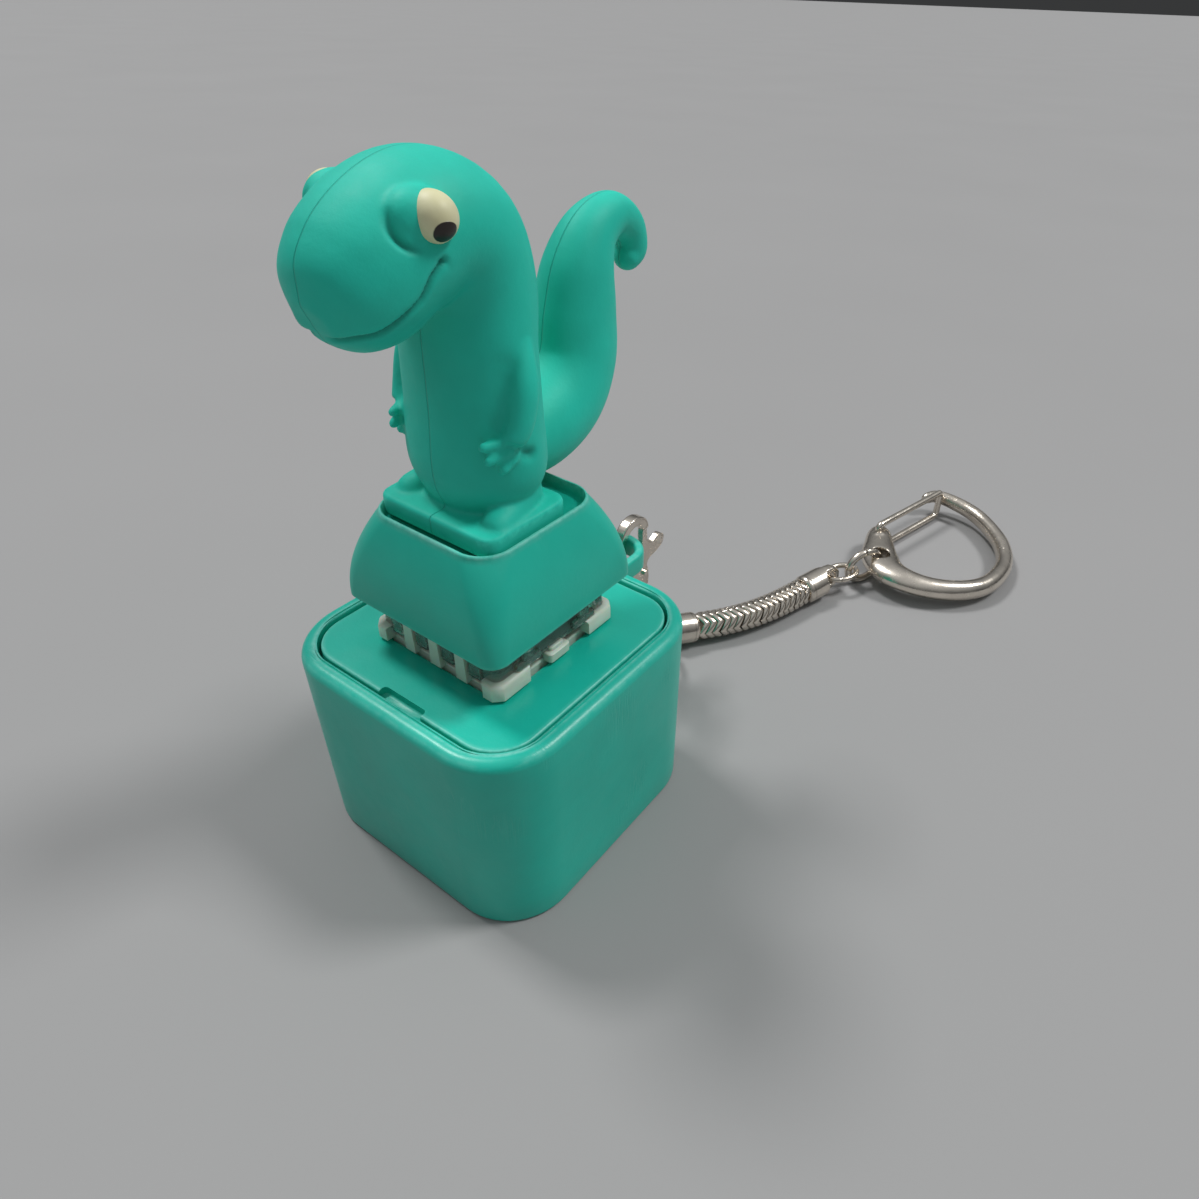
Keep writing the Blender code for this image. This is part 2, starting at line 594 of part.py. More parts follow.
def eye_cap(name, body_end, axis, hole_axis):
    """End cap: round body from body_end along axis, then a flat tab with a round eye."""
    axis = axis.normalized()
    length = CAP_BODY_LENGTH
    eye = body_end + axis * (length + EYE_OFFSET)
    profile = [(0, CAP_RADIUS - 0.5), (0.45, CAP_RADIUS), (length, CAP_RADIUS),
               (length + EYE_OFFSET * 0.7, CAP_RADIUS * 0.97),
               (length + EYE_OFFSET + 0.9, CAP_RADIUS * 0.75),
               (length + EYE_OFFSET + 1.6, CAP_RADIUS * 0.35)]
    cap = new_object(name, turned(profile, body_end, axis), "nickel", body_end)
    side = axis.cross(hole_axis).normalized()
    for sign, label in ((-1, "a"), (1, "b")):
        near = hole_axis * (sign * EYE_TAB / 2)
        far = hole_axis * (sign * 4)
        start = body_end + axis * (length + 0.3)
        end = eye + axis * 4
        corners = [start + near, start + far, end + far, end + near]
        cutter = loft([[corner + side * width for corner in corners] for width in (-4, 4)])
        combine(cap, f"{name}_flat_cutter_{label}", cutter, "DIFFERENCE")
    combine(cap, f"{name}_eye_cutter", rod(eye - hole_axis * 3, eye + hole_axis * 3, EYE_HOLE, 20),
            "DIFFERENCE")


def chain_path():
    """Dense points along the chain's centreline between its two end caps."""
    return smooth_rows((CHAIN_START, *CHAIN_MIDDLE, CHAIN_END), 20)


def point_at(path, distance):
    """Point a given distance along a path."""
    for start, end in zip(path, path[1:]):
        step = (end - start).length
        if distance <= step:
            return start.lerp(end, distance / step)
        distance -= step
    return path[-1]


def chain_joints():
    """Centres of the bends: cap to chain, between segments, and chain to cap."""
    path = chain_path()
    total = sum((b - a).length for a, b in zip(path, path[1:]))
    return [point_at(path, total * i / CHAIN_SEGMENTS) for i in range(CHAIN_SEGMENTS + 1)]


def build_chain():
    """Snake chain: straight round segments with a bend between each two."""
    bends = chain_joints()
    for index, (start, end) in enumerate(zip(bends, bends[1:]), start=1):
        axis = (end - start).normalized()
        length = (end - start).length
        half_gap = CHAIN_SEGMENT_GAP / 2
        end_radius = CHAIN_RADIUS - SEGMENT_CHAMFER
        profile = [(half_gap, end_radius), (half_gap + 0.3, CHAIN_RADIUS),
                   (length - half_gap - 0.3, CHAIN_RADIUS), (length - half_gap, end_radius)]
        new_object(f"chain_segment_{index}", turned(profile, start, axis, 16), "nickel", start)


def build_caps_and_jump_ring():
    """Both end caps, and the jump ring between the clasp's eye and the near cap."""
    near_axis = NEAR_CAP_AXIS.normalized()
    near_body = CHAIN_START + near_axis * (CHAIN_SEGMENT_GAP / 2)
    near_eye = near_body + near_axis * (CAP_BODY_LENGTH + EYE_OFFSET)
    clasp_eye = Vector((0, *CLASP_EYE))
    along = (near_eye - clasp_eye).normalized()
    level = Vector((1, 0, 0))
    square_on = (level - near_axis * level.dot(near_axis)).normalized()
    across = level + square_on
    across = (across - along * across.dot(along)).normalized()
    hole_axis = (across - near_axis * across.dot(near_axis)).normalized()
    eye_cap("chain_cap_near", near_body, near_axis, hole_axis)
    length = (near_eye - clasp_eye).length
    ring = oval_ring((near_eye + clasp_eye) / 2, along, across, length, length, JUMP_WIRE)
    new_object("clasp_ring", ring, "nickel", clasp_eye)

    far_axis = FAR_CAP_AXIS.normalized()
    far_body = CHAIN_END + far_axis * (CHAIN_SEGMENT_GAP / 2)
    eye_cap("chain_cap_far", far_body, far_axis, far_axis.cross(Vector((0, 0, 1))).normalized())


def far_eye():
    """Centre of the far cap's eye."""
    reach = CHAIN_SEGMENT_GAP / 2 + CAP_BODY_LENGTH + EYE_OFFSET
    return CHAIN_END + FAR_CAP_AXIS.normalized() * reach


def build_links():
    """Flat link through the far cap's eye, and upright link through the hook's hole."""
    eye = far_eye()
    along = (HOOK_HOLE - eye).normalized()
    level_side = along.cross(Vector((0, 0, 1))).normalized()
    length, width, wire = LINK_1
    link_1 = oval_ring(eye + along * (length / 2), along, level_side, length, width, wire)
    new_object("ring_link_1", link_1, "nickel", eye)
    near_bend = eye + along * (length - LINK_OVERLAP)
    upright = level_side.cross(along).normalized()
    link_2_length = (HOOK_HOLE - near_bend).length
    link_2 = oval_ring((near_bend + HOOK_HOLE) / 2, along, upright, link_2_length,
                       LINK_2_HEIGHT, LINK_2_WIRE)
    new_object("ring_link_2", link_2, "nickel", eye + along * length)


# ---------------------------------------------------------------- D-shaped snap hook

def build_hook():
    """D-shaped frame from its nose round to the base, with the link's hole."""
    rows = ((15.0, 79.9, 2.75, 0.5, 0.5), (15.1, 80.6, 2.75, 0.9, 0.8),
            (16.3, 82.1, 2.75, 1.05, 0.9), (19.2, 82.3, 2.5, 1.15, 1.1),
            (22.9, 81.4, 2.1, 1.2, 1.15), (26.2, 78.8, 1.9, 1.25, 1.15),
            (29.0, 75.3, 1.8, 1.3, 1.2), (30.6, 71.4, 1.7, 1.3, 1.2),
            (30.9, 67.3, 1.7, 1.35, 1.25), (30.1, 63.2, 1.8, 1.4, 1.3),
            (27.9, 59.9, 2.0, 1.45, 1.4), (24.6, 57.5, 2.3, 1.45, 1.6),
            (21.2, 56.6, 2.6, 1.45, 2.0), (18.2, 57.2, 2.75, 1.45, 2.5),
            (16.1, 59.3, 2.75, 1.45, 2.7), (14.5, 62.6, 2.75, 1.45, 2.2),
            (13.4, 65.4, 2.75, 1.4, 1.7), (12.9, 67.0, 2.75, 0.7, 0.7))
    smooth = smooth_rows(rows, 2)
    path = [Vector(row[:3]) for row in smooth]
    radii = [(row[3], row[4]) for row in smooth]
    hook = new_object("d_hook_frame", sweep(path, radii, Vector((0, 0, 1)), 14), "nickel",
                      HOOK_HOLE)
    drop = Vector((0, 0, 4))
    combine(hook, "hook_hole_cutter",
            rod(HOOK_HOLE - drop, HOOK_HOLE + drop, HOOK_HOLE_RADIUS, 20), "DIFFERENCE")
    combine(hook, "gate_hole_cutter",
            rod(GATE_PIVOT - drop, GATE_PIVOT + drop, GATE_WIRE + 0.2, 16), "DIFFERENCE")


def build_gate():
    """Wire gate: one wire bent into a U over the nose, its ends turned into the base."""
    up = Vector((0, 0, 1))
    small = GATE_BEND * 0.3
    path = [GATE_PIVOT + up * GATE_END_GAP]
    for start, end, lift in ((GATE_PIVOT, GATE_TIP, 1), (GATE_TIP, GATE_PIVOT, -1)):
        rise = up * lift
        run = (end - start).normalized()
        foot = start + rise * GATE_HALF_HEIGHT
        tip = end + rise * GATE_HALF_HEIGHT
        path += [foot - rise * GATE_BEND, foot + (run - rise) * small, foot + run * GATE_BEND,
                 tip - run * GATE_BEND, tip - (run + rise) * small, tip - rise * GATE_BEND]
    path.append(GATE_PIVOT - up * GATE_END_GAP)
    normal = (GATE_TIP - GATE_PIVOT).normalized().cross(up)
    gate = sweep(path, [(GATE_WIRE, GATE_WIRE)] * len(path), normal, 10)
    new_object("wire_gate", gate, "nickel", GATE_PIVOT)


clear_scene()
build_case()
build_plate()
build_lower_housing()
build_upper_housing()
build_contacts()
build_stem()
build_return_spring()
build_keycap()
build_figure()
build_clasp()
build_chain()
build_caps_and_jump_ring()
build_links()
build_hook()
build_gate()
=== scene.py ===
"""Looks of a key-switch clicker keyring with a long-necked toy figure.

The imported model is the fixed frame.  Each sub-assembly below is a class that builds its fine
meshes in millimetres around that frame, dresses them in procedural finishes and lets them ride
on the frame's bodies.
"""

from __future__ import annotations

import json
import logging
import math
from dataclasses import dataclass
from enum import Enum
from typing import Iterable, Sequence

import bmesh
import bpy
import numpy as np
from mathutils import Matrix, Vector


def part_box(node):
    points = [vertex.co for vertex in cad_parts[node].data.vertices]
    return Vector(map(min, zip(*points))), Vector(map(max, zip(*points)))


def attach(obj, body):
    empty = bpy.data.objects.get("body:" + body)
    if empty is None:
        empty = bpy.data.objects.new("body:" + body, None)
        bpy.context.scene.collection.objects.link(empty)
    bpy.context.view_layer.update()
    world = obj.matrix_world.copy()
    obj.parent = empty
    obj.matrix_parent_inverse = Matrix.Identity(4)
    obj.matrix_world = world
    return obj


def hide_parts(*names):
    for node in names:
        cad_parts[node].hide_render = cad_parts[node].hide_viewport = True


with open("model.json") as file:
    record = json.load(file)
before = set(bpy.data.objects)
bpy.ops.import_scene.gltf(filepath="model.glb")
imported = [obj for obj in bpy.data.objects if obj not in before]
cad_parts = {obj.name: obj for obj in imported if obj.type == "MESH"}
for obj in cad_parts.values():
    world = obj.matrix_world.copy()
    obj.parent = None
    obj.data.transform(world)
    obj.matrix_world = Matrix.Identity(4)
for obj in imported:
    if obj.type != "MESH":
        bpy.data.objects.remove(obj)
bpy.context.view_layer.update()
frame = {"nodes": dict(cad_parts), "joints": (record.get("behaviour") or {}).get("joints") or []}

MM = 0.001
UP = Vector((0.0, 0.0, 1.0))
SHARP_EDGE = 40.0        # degrees between two faces, past which their edge is shaded sharp
LOG = logging.getLogger("keyring")


# ---------------------------------------------------------------- shapes

def box_mm(node: str) -> tuple[Vector, Vector]:
    """Lowest and highest corner of a frame node, in millimetres."""
    low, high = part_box(node)
    return low / MM, high / MM


def joint_place(name: str) -> Vector:
    """Centre of a frame joint, in millimetres."""
    for joint in frame["joints"]:
        if joint["name"] == name:
            return Vector(joint["pos_m"]) / MM
    raise KeyError(name)


def rounded_rectangle(half_x: float, half_y: float, corner: float, z: float,
                      steps: int = 14, straight: int = 10) -> list[Vector]:
    """Outline of a rounded rectangle.

    Args:
        half_x: Half width along X.
        half_y: Half width along Y.
        corner: Corner radius.
        z: Height of the outline.
        steps: Points around each corner.
        straight: Points along each side between two corners.

    Returns:
        The outline's points, counterclockwise.
    """
    points = []
    signs = ((1, 1), (-1, 1), (-1, -1), (1, -1))
    for quadrant, (sign_x, sign_y) in enumerate(signs):
        centre = Vector((sign_x * (half_x - corner), sign_y * (half_y - corner), z))
        for i in range(steps + 1):
            angle = math.radians(90 * (quadrant + i / steps))
            points.append(centre + Vector((math.cos(angle), math.sin(angle), 0)) * corner)
        next_x, next_y = signs[(quadrant + 1) % 4]
        following = Vector((next_x * (half_x - corner), next_y * (half_y - corner), z))
        angle = math.radians(90 * (quadrant + 1))
        start = points[-1]
        end = following + Vector((math.cos(angle), math.sin(angle), 0)) * corner
        for i in range(1, straight):
            points.append(start.lerp(end, i / straight))
    return points


def smooth_rows(rows: Sequence[Sequence[float]], steps: int, closed: bool = False) -> list[Vector]:
    """Pass a Catmull-Rom curve through rows of numbers.

    Args:
        rows: Rows of equal length.
        steps: Points for each span.
        closed: Whether the last row leads back to the first.

    Returns:
        The denser rows.
    """
    rows = [Vector(row) for row in rows]
    count = len(rows)
    result = []
    for i in range(count if closed else count - 1):
        if closed:
            p0, p1, p2, p3 = (rows[(i + k - 1) % count] for k in range(4))
        else:
            p0, p1, p2, p3 = (rows[min(max(i + k - 1, 0), count - 1)] for k in range(4))
        for k in range(steps):
            t = k / steps
            result.append(0.5 * (2 * p1 + (p2 - p0) * t + (2 * p0 - 5 * p1 + 4 * p2 - p3) * t ** 2
                                 + (3 * p1 - p0 - 3 * p2 + p3) * t ** 3))
    if not closed:
        result.append(rows[-1])
    return result


class Shape:
    """Vertices in millimetres and the faces between them."""

    def __init__(self) -> None:
        """Start with nothing."""
        self.points: list[Vector] = []
        self.faces: list[tuple[int, ...]] = []

    def skin(self, rings: Sequence[Sequence[Vector]], closed: bool = False) -> "Shape":
        """Skin a stack of rings with equal point counts, and close both ends if open.

        Args:
            rings: The rings in order.
            closed: Whether the last ring leads back to the first.

        Returns:
            This shape.
        """
        first = len(self.points)
        count = len(rings[0])
        for ring in rings:
            self.points += ring
        pairs = [(i, i + 1) for i in range(len(rings) - 1)]
        if closed:
            pairs.append((len(rings) - 1, 0))
        for lower, upper in pairs:
            for i in range(count):
                j = (i + 1) % count
                low, high = first + lower * count, first + upper * count
                self.faces.append((low + i, low + j, high + j, high + i))
        if not closed:
            self.faces.append(tuple(reversed(range(first, first + count))))
            last = first + (len(rings) - 1) * count
            self.faces.append(tuple(range(last, last + count)))
        return self

    def tube(self, path: Sequence[Vector], radii: Sequence[tuple[float, float]], normal: Vector,
             sides: int = 24, closed: bool = False) -> "Shape":
        """Skin a tube along a flat path.

        Args:
            path: Centre points.
            radii: For each point, the radius across the path's plane and within it.
            normal: Normal of the path's plane.
            sides: Points around the tube.
            closed: Whether the path is a loop.

        Returns:
            This shape.
        """
        normal = normal.normalized()
        count = len(path)
        rings = []
        for i, point in enumerate(path):
            before = path[i - 1] if closed or i > 0 else point
            after = path[(i + 1) % count] if closed or i < count - 1 else point
            side = (after - before).normalized().cross(normal)
            across, within = radii[i]
            rings.append([point + normal * across * math.cos(2 * math.pi * k / sides)
                          + side * within * math.sin(2 * math.pi * k / sides)
                          for k in range(sides)])
        return self.skin(rings, closed)

    def turn(self, profile: Iterable[tuple[float, float]], start: Vector, axis: Vector,
             sides: int = 40) -> "Shape":
        """Turn (distance, radius) pairs about an axis through start."""
        axis = axis.normalized()
        across = axis.orthogonal().normalized()
        up = axis.cross(across)
        return self.skin([[start + axis * along
                           + across * radius * math.cos(2 * math.pi * k / sides)
                           + up * radius * math.sin(2 * math.pi * k / sides)
                           for k in range(sides)] for along, radius in profile])

    def ball(self, centre: Vector, radii: Vector, sides: int = 32) -> "Shape":
        """Add an ellipsoid with its poles along Z."""
        rings = []
        for i in range(1, sides // 2):
            polar = math.pi * i / (sides // 2)
            rings.append([centre + Vector((radii.x * math.sin(polar) * math.cos(2 * math.pi * k / sides),
                                           radii.y * math.sin(polar) * math.sin(2 * math.pi * k / sides),
                                           -radii.z * math.cos(polar))) for k in range(sides)])
        return self.skin(rings)

    def block(self, low: Sequence[float], high: Sequence[float], corner: float = 0.12,
              edge: float = 0.08) -> "Shape":
        """Add a box with rounded upright edges and a chamfer at its top and bottom."""
        low, high = Vector(low), Vector(high)
        centre, half = (low + high) / 2, (high - low) / 2
        rings = []
        for inset, z in ((edge, low.z), (0.0, low.z + edge), (0.0, high.z - edge), (edge, high.z)):
            ring = rounded_rectangle(half.x - inset, half.y - inset, corner, z, 3, 1)
            rings.append([point + Vector((centre.x, centre.y, 0)) for point in ring])
        return self.skin(rings)

    def piece(self, name: str, sharp: float = SHARP_EDGE) -> bpy.types.Object:
        """Make the object, in metres, with its faces pointing out.

        Args:
            name: The object's name.
            sharp: Angle in degrees past which an edge is shaded sharp.

        Returns:
            The new object, at the origin.
        """
        mesh = bpy.data.meshes.new(name)
        mesh.from_pydata([point * MM for point in self.points], [], self.faces)
        tidy_normals(mesh)
        shade(mesh, sharp)
        obj = bpy.data.objects.new(name, mesh)
        bpy.context.collection.objects.link(obj)
        return obj


def tidy_normals(mesh: bpy.types.Mesh) -> None:
    """Merge doubles and turn every face outwards."""
    bm = bmesh.new()
    bm.from_mesh(mesh)
    bmesh.ops.remove_doubles(bm, verts=bm.verts, dist=1e-7)
    bmesh.ops.recalc_face_normals(bm, faces=bm.faces)
    bm.to_mesh(mesh)
    bm.free()


def shade(mesh: bpy.types.Mesh, sharp: float = SHARP_EDGE) -> None:
    """Shade a mesh smooth, with sharp edges past an angle in degrees."""
    mesh.shade_smooth()
    mesh.set_sharp_from_angle(angle=math.radians(sharp))


def settle(obj: bpy.types.Object) -> bpy.types.Object:
    """Turn an object's evaluated shape into its plain mesh and drop its modifiers."""
    bpy.context.view_layer.update()
    graph = bpy.context.evaluated_depsgraph_get()
    mesh = bpy.data.meshes.new_from_object(obj.evaluated_get(graph))
    obj.modifiers.clear()
    obj.data = mesh
    return obj


def cut(obj: bpy.types.Object, tool: Shape, join: bool = False) -> bpy.types.Object:
    """Cut a tool shape away from an object, or join it on."""
    cutter = tool.piece("cutting_tool")
    modifier = obj.modifiers.new("cut", "BOOLEAN")
    modifier.operation = "UNION" if join else "DIFFERENCE"
    modifier.solver = "EXACT"
    modifier.object = cutter
    settle(obj)
    bpy.data.objects.remove(cutter, do_unlink=True)
    return obj


def cast(obj: bpy.types.Object, grain: float, rounds: int) -> bpy.types.Object:
    """Melt an object into one evenly meshed skin with soft edges, as a casting has.

    Args:
        obj: The object, whose shells may overlap.
        grain: Size of the new faces, in millimetres.
        rounds: Rounds of smoothing.

    Returns:
        The same object.
    """
    remesh = obj.modifiers.new("melt", "REMESH")
    remesh.mode = "VOXEL"
    remesh.voxel_size = grain * MM
    soft = obj.modifiers.new("soften", "SMOOTH")
    soft.factor = 0.5
    soft.iterations = rounds
    settle(obj)
    obj.data.shade_smooth()
    return obj


def read_points(obj: bpy.types.Object) -> tuple[np.ndarray, np.ndarray]:
    """Vertex places in millimetres and vertex normals."""
    count = len(obj.data.vertices)
    places = np.empty(count * 3, np.float32)
    normals = np.empty(count * 3, np.float32)
    obj.data.vertices.foreach_get("co", places)
    obj.data.vertices.foreach_get("normal", normals)
    return places.reshape(-1, 3).astype(float) / MM, normals.reshape(-1, 3).astype(float)


def write_points(obj: bpy.types.Object, places: np.ndarray) -> None:
    """Put vertices at new places, in millimetres."""
    obj.data.vertices.foreach_set("co", (places * MM).astype(np.float32).ravel())
    obj.data.update()


def near(places: np.ndarray, line: Sequence[Sequence[float]], width: float) -> np.ndarray:
    """Closeness of places to a line.

    Args:
        places: Points in millimetres.
        line: Points that the line passes through.
        width: Distance at which closeness has fallen to about a third.

    Returns:
        1 on the line, falling to 0 away from it, for each place.
    """
    stops = np.array([tuple(row) for row in smooth_rows(line, 8)])
    nearest = np.full(len(places), np.inf)
    for start, end in zip(stops, stops[1:]):
        run = end - start
        share = np.clip(((places - start) @ run) / max(float(run @ run), 1e-9), 0.0, 1.0)
        gap = places - (start + share[:, None] * run)
        nearest = np.minimum(nearest, (gap * gap).sum(1))
    return np.exp(-nearest / width ** 2)


def paint(obj: bpy.types.Object, name: str, values: np.ndarray) -> None:
    """Store one number for each vertex, for a finish to read."""
    layer = obj.data.attributes.new(name, "FLOAT", "POINT")
    layer.data.foreach_set("value", values.astype(np.float32))


# ---------------------------------------------------------------- finishes

class Graph:
    """A material's node tree, with short calls to add nodes and join them."""

    def __init__(self, name: str) -> None:
        """Make the material and find its shader."""
        self.material = bpy.data.materials.new(name)
        self.material.use_nodes = True
        self.tree = self.material.node_tree
        self.shader = self.tree.nodes["Principled BSDF"]
        self.place = self.add("ShaderNodeTexCoord").outputs["Object"]

    def fill(self, node: bpy.types.Node, inputs: dict) -> bpy.types.Node:
        """Set a node's inputs to constants, or link them to sockets."""
        for key, value in inputs.items():
            socket = node.inputs[key]
            if isinstance(value, bpy.types.NodeSocket):
                self.tree.links.new(value, socket)
            else:
                socket.default_value = value
        return node

    def add(self, kind: str, inputs: dict | None = None, **settings: object) -> bpy.types.Node:
        """Add a node with its settings and inputs."""
        node = self.tree.nodes.new(kind)
        for key, value in settings.items():
            setattr(node, key, value)
        return self.fill(node, inputs or {})

    def noise(self, scale: float, detail: float = 3.0, rough: float = 0.5,
              place: bpy.types.NodeSocket | None = None) -> bpy.types.NodeSocket:
        """Smooth noise from 0 to 1; scale is in features to the metre."""
        return self.add("ShaderNodeTexNoise", {"Vector": place or self.place, "Scale": scale,
                                               "Detail": detail, "Roughness": rough}).outputs["Fac"]

    def ramp(self, value: bpy.types.NodeSocket, low: float, high: float, start: float = 0.0,
             end: float = 1.0) -> bpy.types.NodeSocket:
        """Map low..high to start..end, held at both ends."""
        return self.add("ShaderNodeMapRange", {"Value": value, "From Min": low, "From Max": high,
                                               "To Min": start, "To Max": end}).outputs["Result"]

    def calc(self, operation: str, first: object, second: object = 0.0) -> bpy.types.NodeSocket:
        """One sum."""
        return self.add("ShaderNodeMath", {0: first, 1: second}, operation=operation).outputs[0]

    def mix(self, share: bpy.types.NodeSocket, first: object, second: object) -> bpy.types.NodeSocket:
        """Mix two colours."""
        node = self.add("ShaderNodeMix", data_type="RGBA")
        self.fill(node, {0: share, 6: first, 7: second})
        return node.outputs[2]

    def stretched(self, scale: tuple[float, float, float], turn: float) -> bpy.types.NodeSocket:
        """The object's coordinates, turned about Z and stretched."""
        return self.add("ShaderNodeMapping", {"Vector": self.place, "Scale": scale,
                                              "Rotation": (0.3, 0.2, turn)}).outputs["Vector"]

    def hairlines(self, turn: float, width: float = 0.035) -> bpy.types.NodeSocket:
        """Sparse thin scratches along one direction, from 0 to 1."""
        noise = self.noise(1.0, 1.0, 0.4, self.stretched((110, 4200, 110), turn))
        line = self.ramp(self.calc("ABSOLUTE", self.calc("SUBTRACT", noise, 0.5)), 0.0, width, 1.0, 0.0)
        patch = self.ramp(self.noise(150, 2.0), 0.57, 0.70)
        return self.calc("MULTIPLY", line, patch)

    def attribute(self, name: str) -> bpy.types.NodeSocket:
        """A number painted on the mesh."""
        return self.add("ShaderNodeAttribute", attribute_name=name).outputs["Fac"]

    def bump(self, height: bpy.types.NodeSocket, depth: float,
             under: bpy.types.NodeSocket | None = None) -> bpy.types.NodeSocket:
        """Turn a height from 0 to 1 into a surface normal; depth is in metres."""
        inputs = {"Height": height, "Distance": depth, "Strength": 1.0}
        if under is not None:
            inputs["Normal"] = under
        return self.add("ShaderNodeBump", inputs).outputs["Normal"]


@dataclass(frozen=True)
class Moulded:
    """Moulded plastic with a soft sheen, fine scuffs and paler edges, part wear and part painted highlight.
    """

    name: str
    colour: tuple[float, float, float]
    worn_and_highlight_colour: tuple[float, float, float]
    roughness: float = 0.36
    grain: float = 0.000012
    glow: float = 0.08
    glow_reach: float = 0.0012

    def material(self) -> bpy.types.Material:
        """Build the finish."""
        g = Graph(self.name)
        deep = tuple(c * 0.90 for c in self.colour)
        light = tuple(min(c * 1.07, 1.0) for c in self.colour)
        tone = g.mix(g.ramp(g.noise(95, 4.0, 0.55), 0.3, 0.7), (*deep, 1), (*light, 1))
        scuff = g.calc("MAXIMUM", g.hairlines(0.5), g.hairlines(2.1, 0.025))
        # Paler edges: part wear, part painted highlight, broken up by noise.
        broken = g.ramp(g.noise(1100, 4.0, 0.65), 0.35, 0.62, 0.25, 1.0)
        edge = g.calc("MULTIPLY", g.attribute("wear_and_painted_highlight"), broken)
        pale = g.calc("MINIMUM", g.calc("ADD", edge, g.calc("MULTIPLY", scuff, 0.10)), 1.0)
        colour = g.mix(pale, tone, (*self.worn_and_highlight_colour, 1))
        shine = g.ramp(g.noise(210, 5.0, 0.6), 0.25, 0.75, self.roughness - 0.07, self.roughness + 0.09)
        shine = g.calc("ADD", shine, g.calc("MULTIPLY", pale, 0.18))
        ripple = g.bump(g.noise(160, 2.0), 0.00005)
        fine = g.bump(g.noise(2600, 3.0, 0.6), self.grain, ripple)
        normal = g.bump(g.calc("SUBTRACT", 1.0, scuff), 0.000015, fine)
        g.fill(g.shader, {"Base Color": colour, "Roughness": shine, "Normal": normal, "IOR": 1.5,
                          "Subsurface Weight": self.glow, "Subsurface Scale": self.glow_reach,
                          "Subsurface Radius": (0.4, 1.0, 0.8)})
        return g.material


@dataclass(frozen=True)
class SoftRubber:
    """Matte soft rubber with a mould seam along the plane X = 0, painted shade in its creases and paler
    edges, part wear and part painted highlight.
    """

    name: str
    colour: tuple[float, float, float]
    seam_half: float = 0.00009

    def material(self) -> bpy.types.Material:
        """Build the finish."""
        g = Graph(self.name)
        deep = tuple(c * 0.92 for c in self.colour)
        light = tuple(min(c * 1.06, 1.0) for c in self.colour)
        tone = g.mix(g.ramp(g.noise(120, 4.0, 0.6), 0.3, 0.7), (*deep, 1), (*light, 1))
        # Painted shade: darker in the creases that the mesh marks.
        painted_shade = g.attribute("painted_shade")
        tone = g.mix(g.calc("MULTIPLY", painted_shade, 0.75), tone, (*(c * 0.35 for c in self.colour), 1))
        across = g.add("ShaderNodeSeparateXYZ", {"Vector": g.place}).outputs["X"]
        wander = g.ramp(g.noise(70, 2.0), 0.0, 1.0, -0.00012, 0.00012)
        away = g.calc("ABSOLUTE", g.calc("ADD", across, wander))
        seam = g.ramp(away, 0.0, self.seam_half, 1.0, 0.0)
        # Paler where the edge mask is set: part wear, part painted highlight.
        worn = g.calc("MULTIPLY", g.attribute("wear_and_painted_highlight"), g.ramp(g.noise(700, 4.0, 0.6), 0.4, 0.62))
        tone = g.mix(worn, tone, (*(min(c * 1.35 + 0.05, 1.0) for c in self.colour), 1))
        colour = g.mix(g.calc("MULTIPLY", seam, 0.25), tone, (*(c * 0.45 for c in self.colour), 1))
        dust = g.ramp(g.noise(1900, 3.0, 0.7), 0.68, 0.74, 0.0, 0.25)
        colour = g.mix(dust, colour, (*light, 1))
        shine = g.ramp(g.noise(260, 5.0, 0.6), 0.25, 0.75, 0.5, 0.66)
        soft = g.bump(g.noise(330, 3.0), 0.00004)
        fine = g.bump(g.noise(3200, 3.0, 0.65), 0.000014, soft)
        normal = g.bump(g.calc("SUBTRACT", 1.0, seam), 0.00007, fine)
        g.fill(g.shader, {"Base Color": colour, "Roughness": shine, "Normal": normal,
                          "Subsurface Weight": 0.16, "Subsurface Scale": 0.0016,
                          "Subsurface Radius": (0.35, 1.0, 0.8), "Sheen Weight": 0.02,
                          "Sheen Roughness": 0.5, "IOR": 1.38})
        return g.material


@dataclass(frozen=True)
class PaintedEye:
    """Cream paint with one dark round pupil, slightly uneven as hand paint is."""

    name: str
    pupil: tuple[float, float, float]
    pupil_radius: float

    def material(self) -> bpy.types.Material:
        """Build the finish."""
        g = Graph(self.name)
        centre = tuple(c * MM for c in self.pupil)
        away = g.add("ShaderNodeVectorMath", {0: g.place, 1: centre}, operation="DISTANCE").outputs["Value"]
        wobble = g.ramp(g.noise(900, 2.0), 0.0, 1.0, -0.00009, 0.00009)
        dark = g.ramp(g.calc("ADD", away, wobble), self.pupil_radius * MM,
                      (self.pupil_radius + 0.06) * MM, 1.0, 0.0)
        cream = g.mix(g.ramp(g.noise(420, 3.0), 0.3, 0.7), (0.74, 0.70, 0.41, 1), (0.80, 0.78, 0.52, 1))
        colour = g.mix(dark, cream, (0.018, 0.010, 0.007, 1))
        shine = g.ramp(dark, 0.0, 1.0, 0.5, 0.33)
        normal = g.bump(g.noise(1800, 3.0), 0.00001, g.bump(dark, 0.00004))
        g.fill(g.shader, {"Base Color": colour, "Roughness": shine, "Normal": normal})
        return g.material


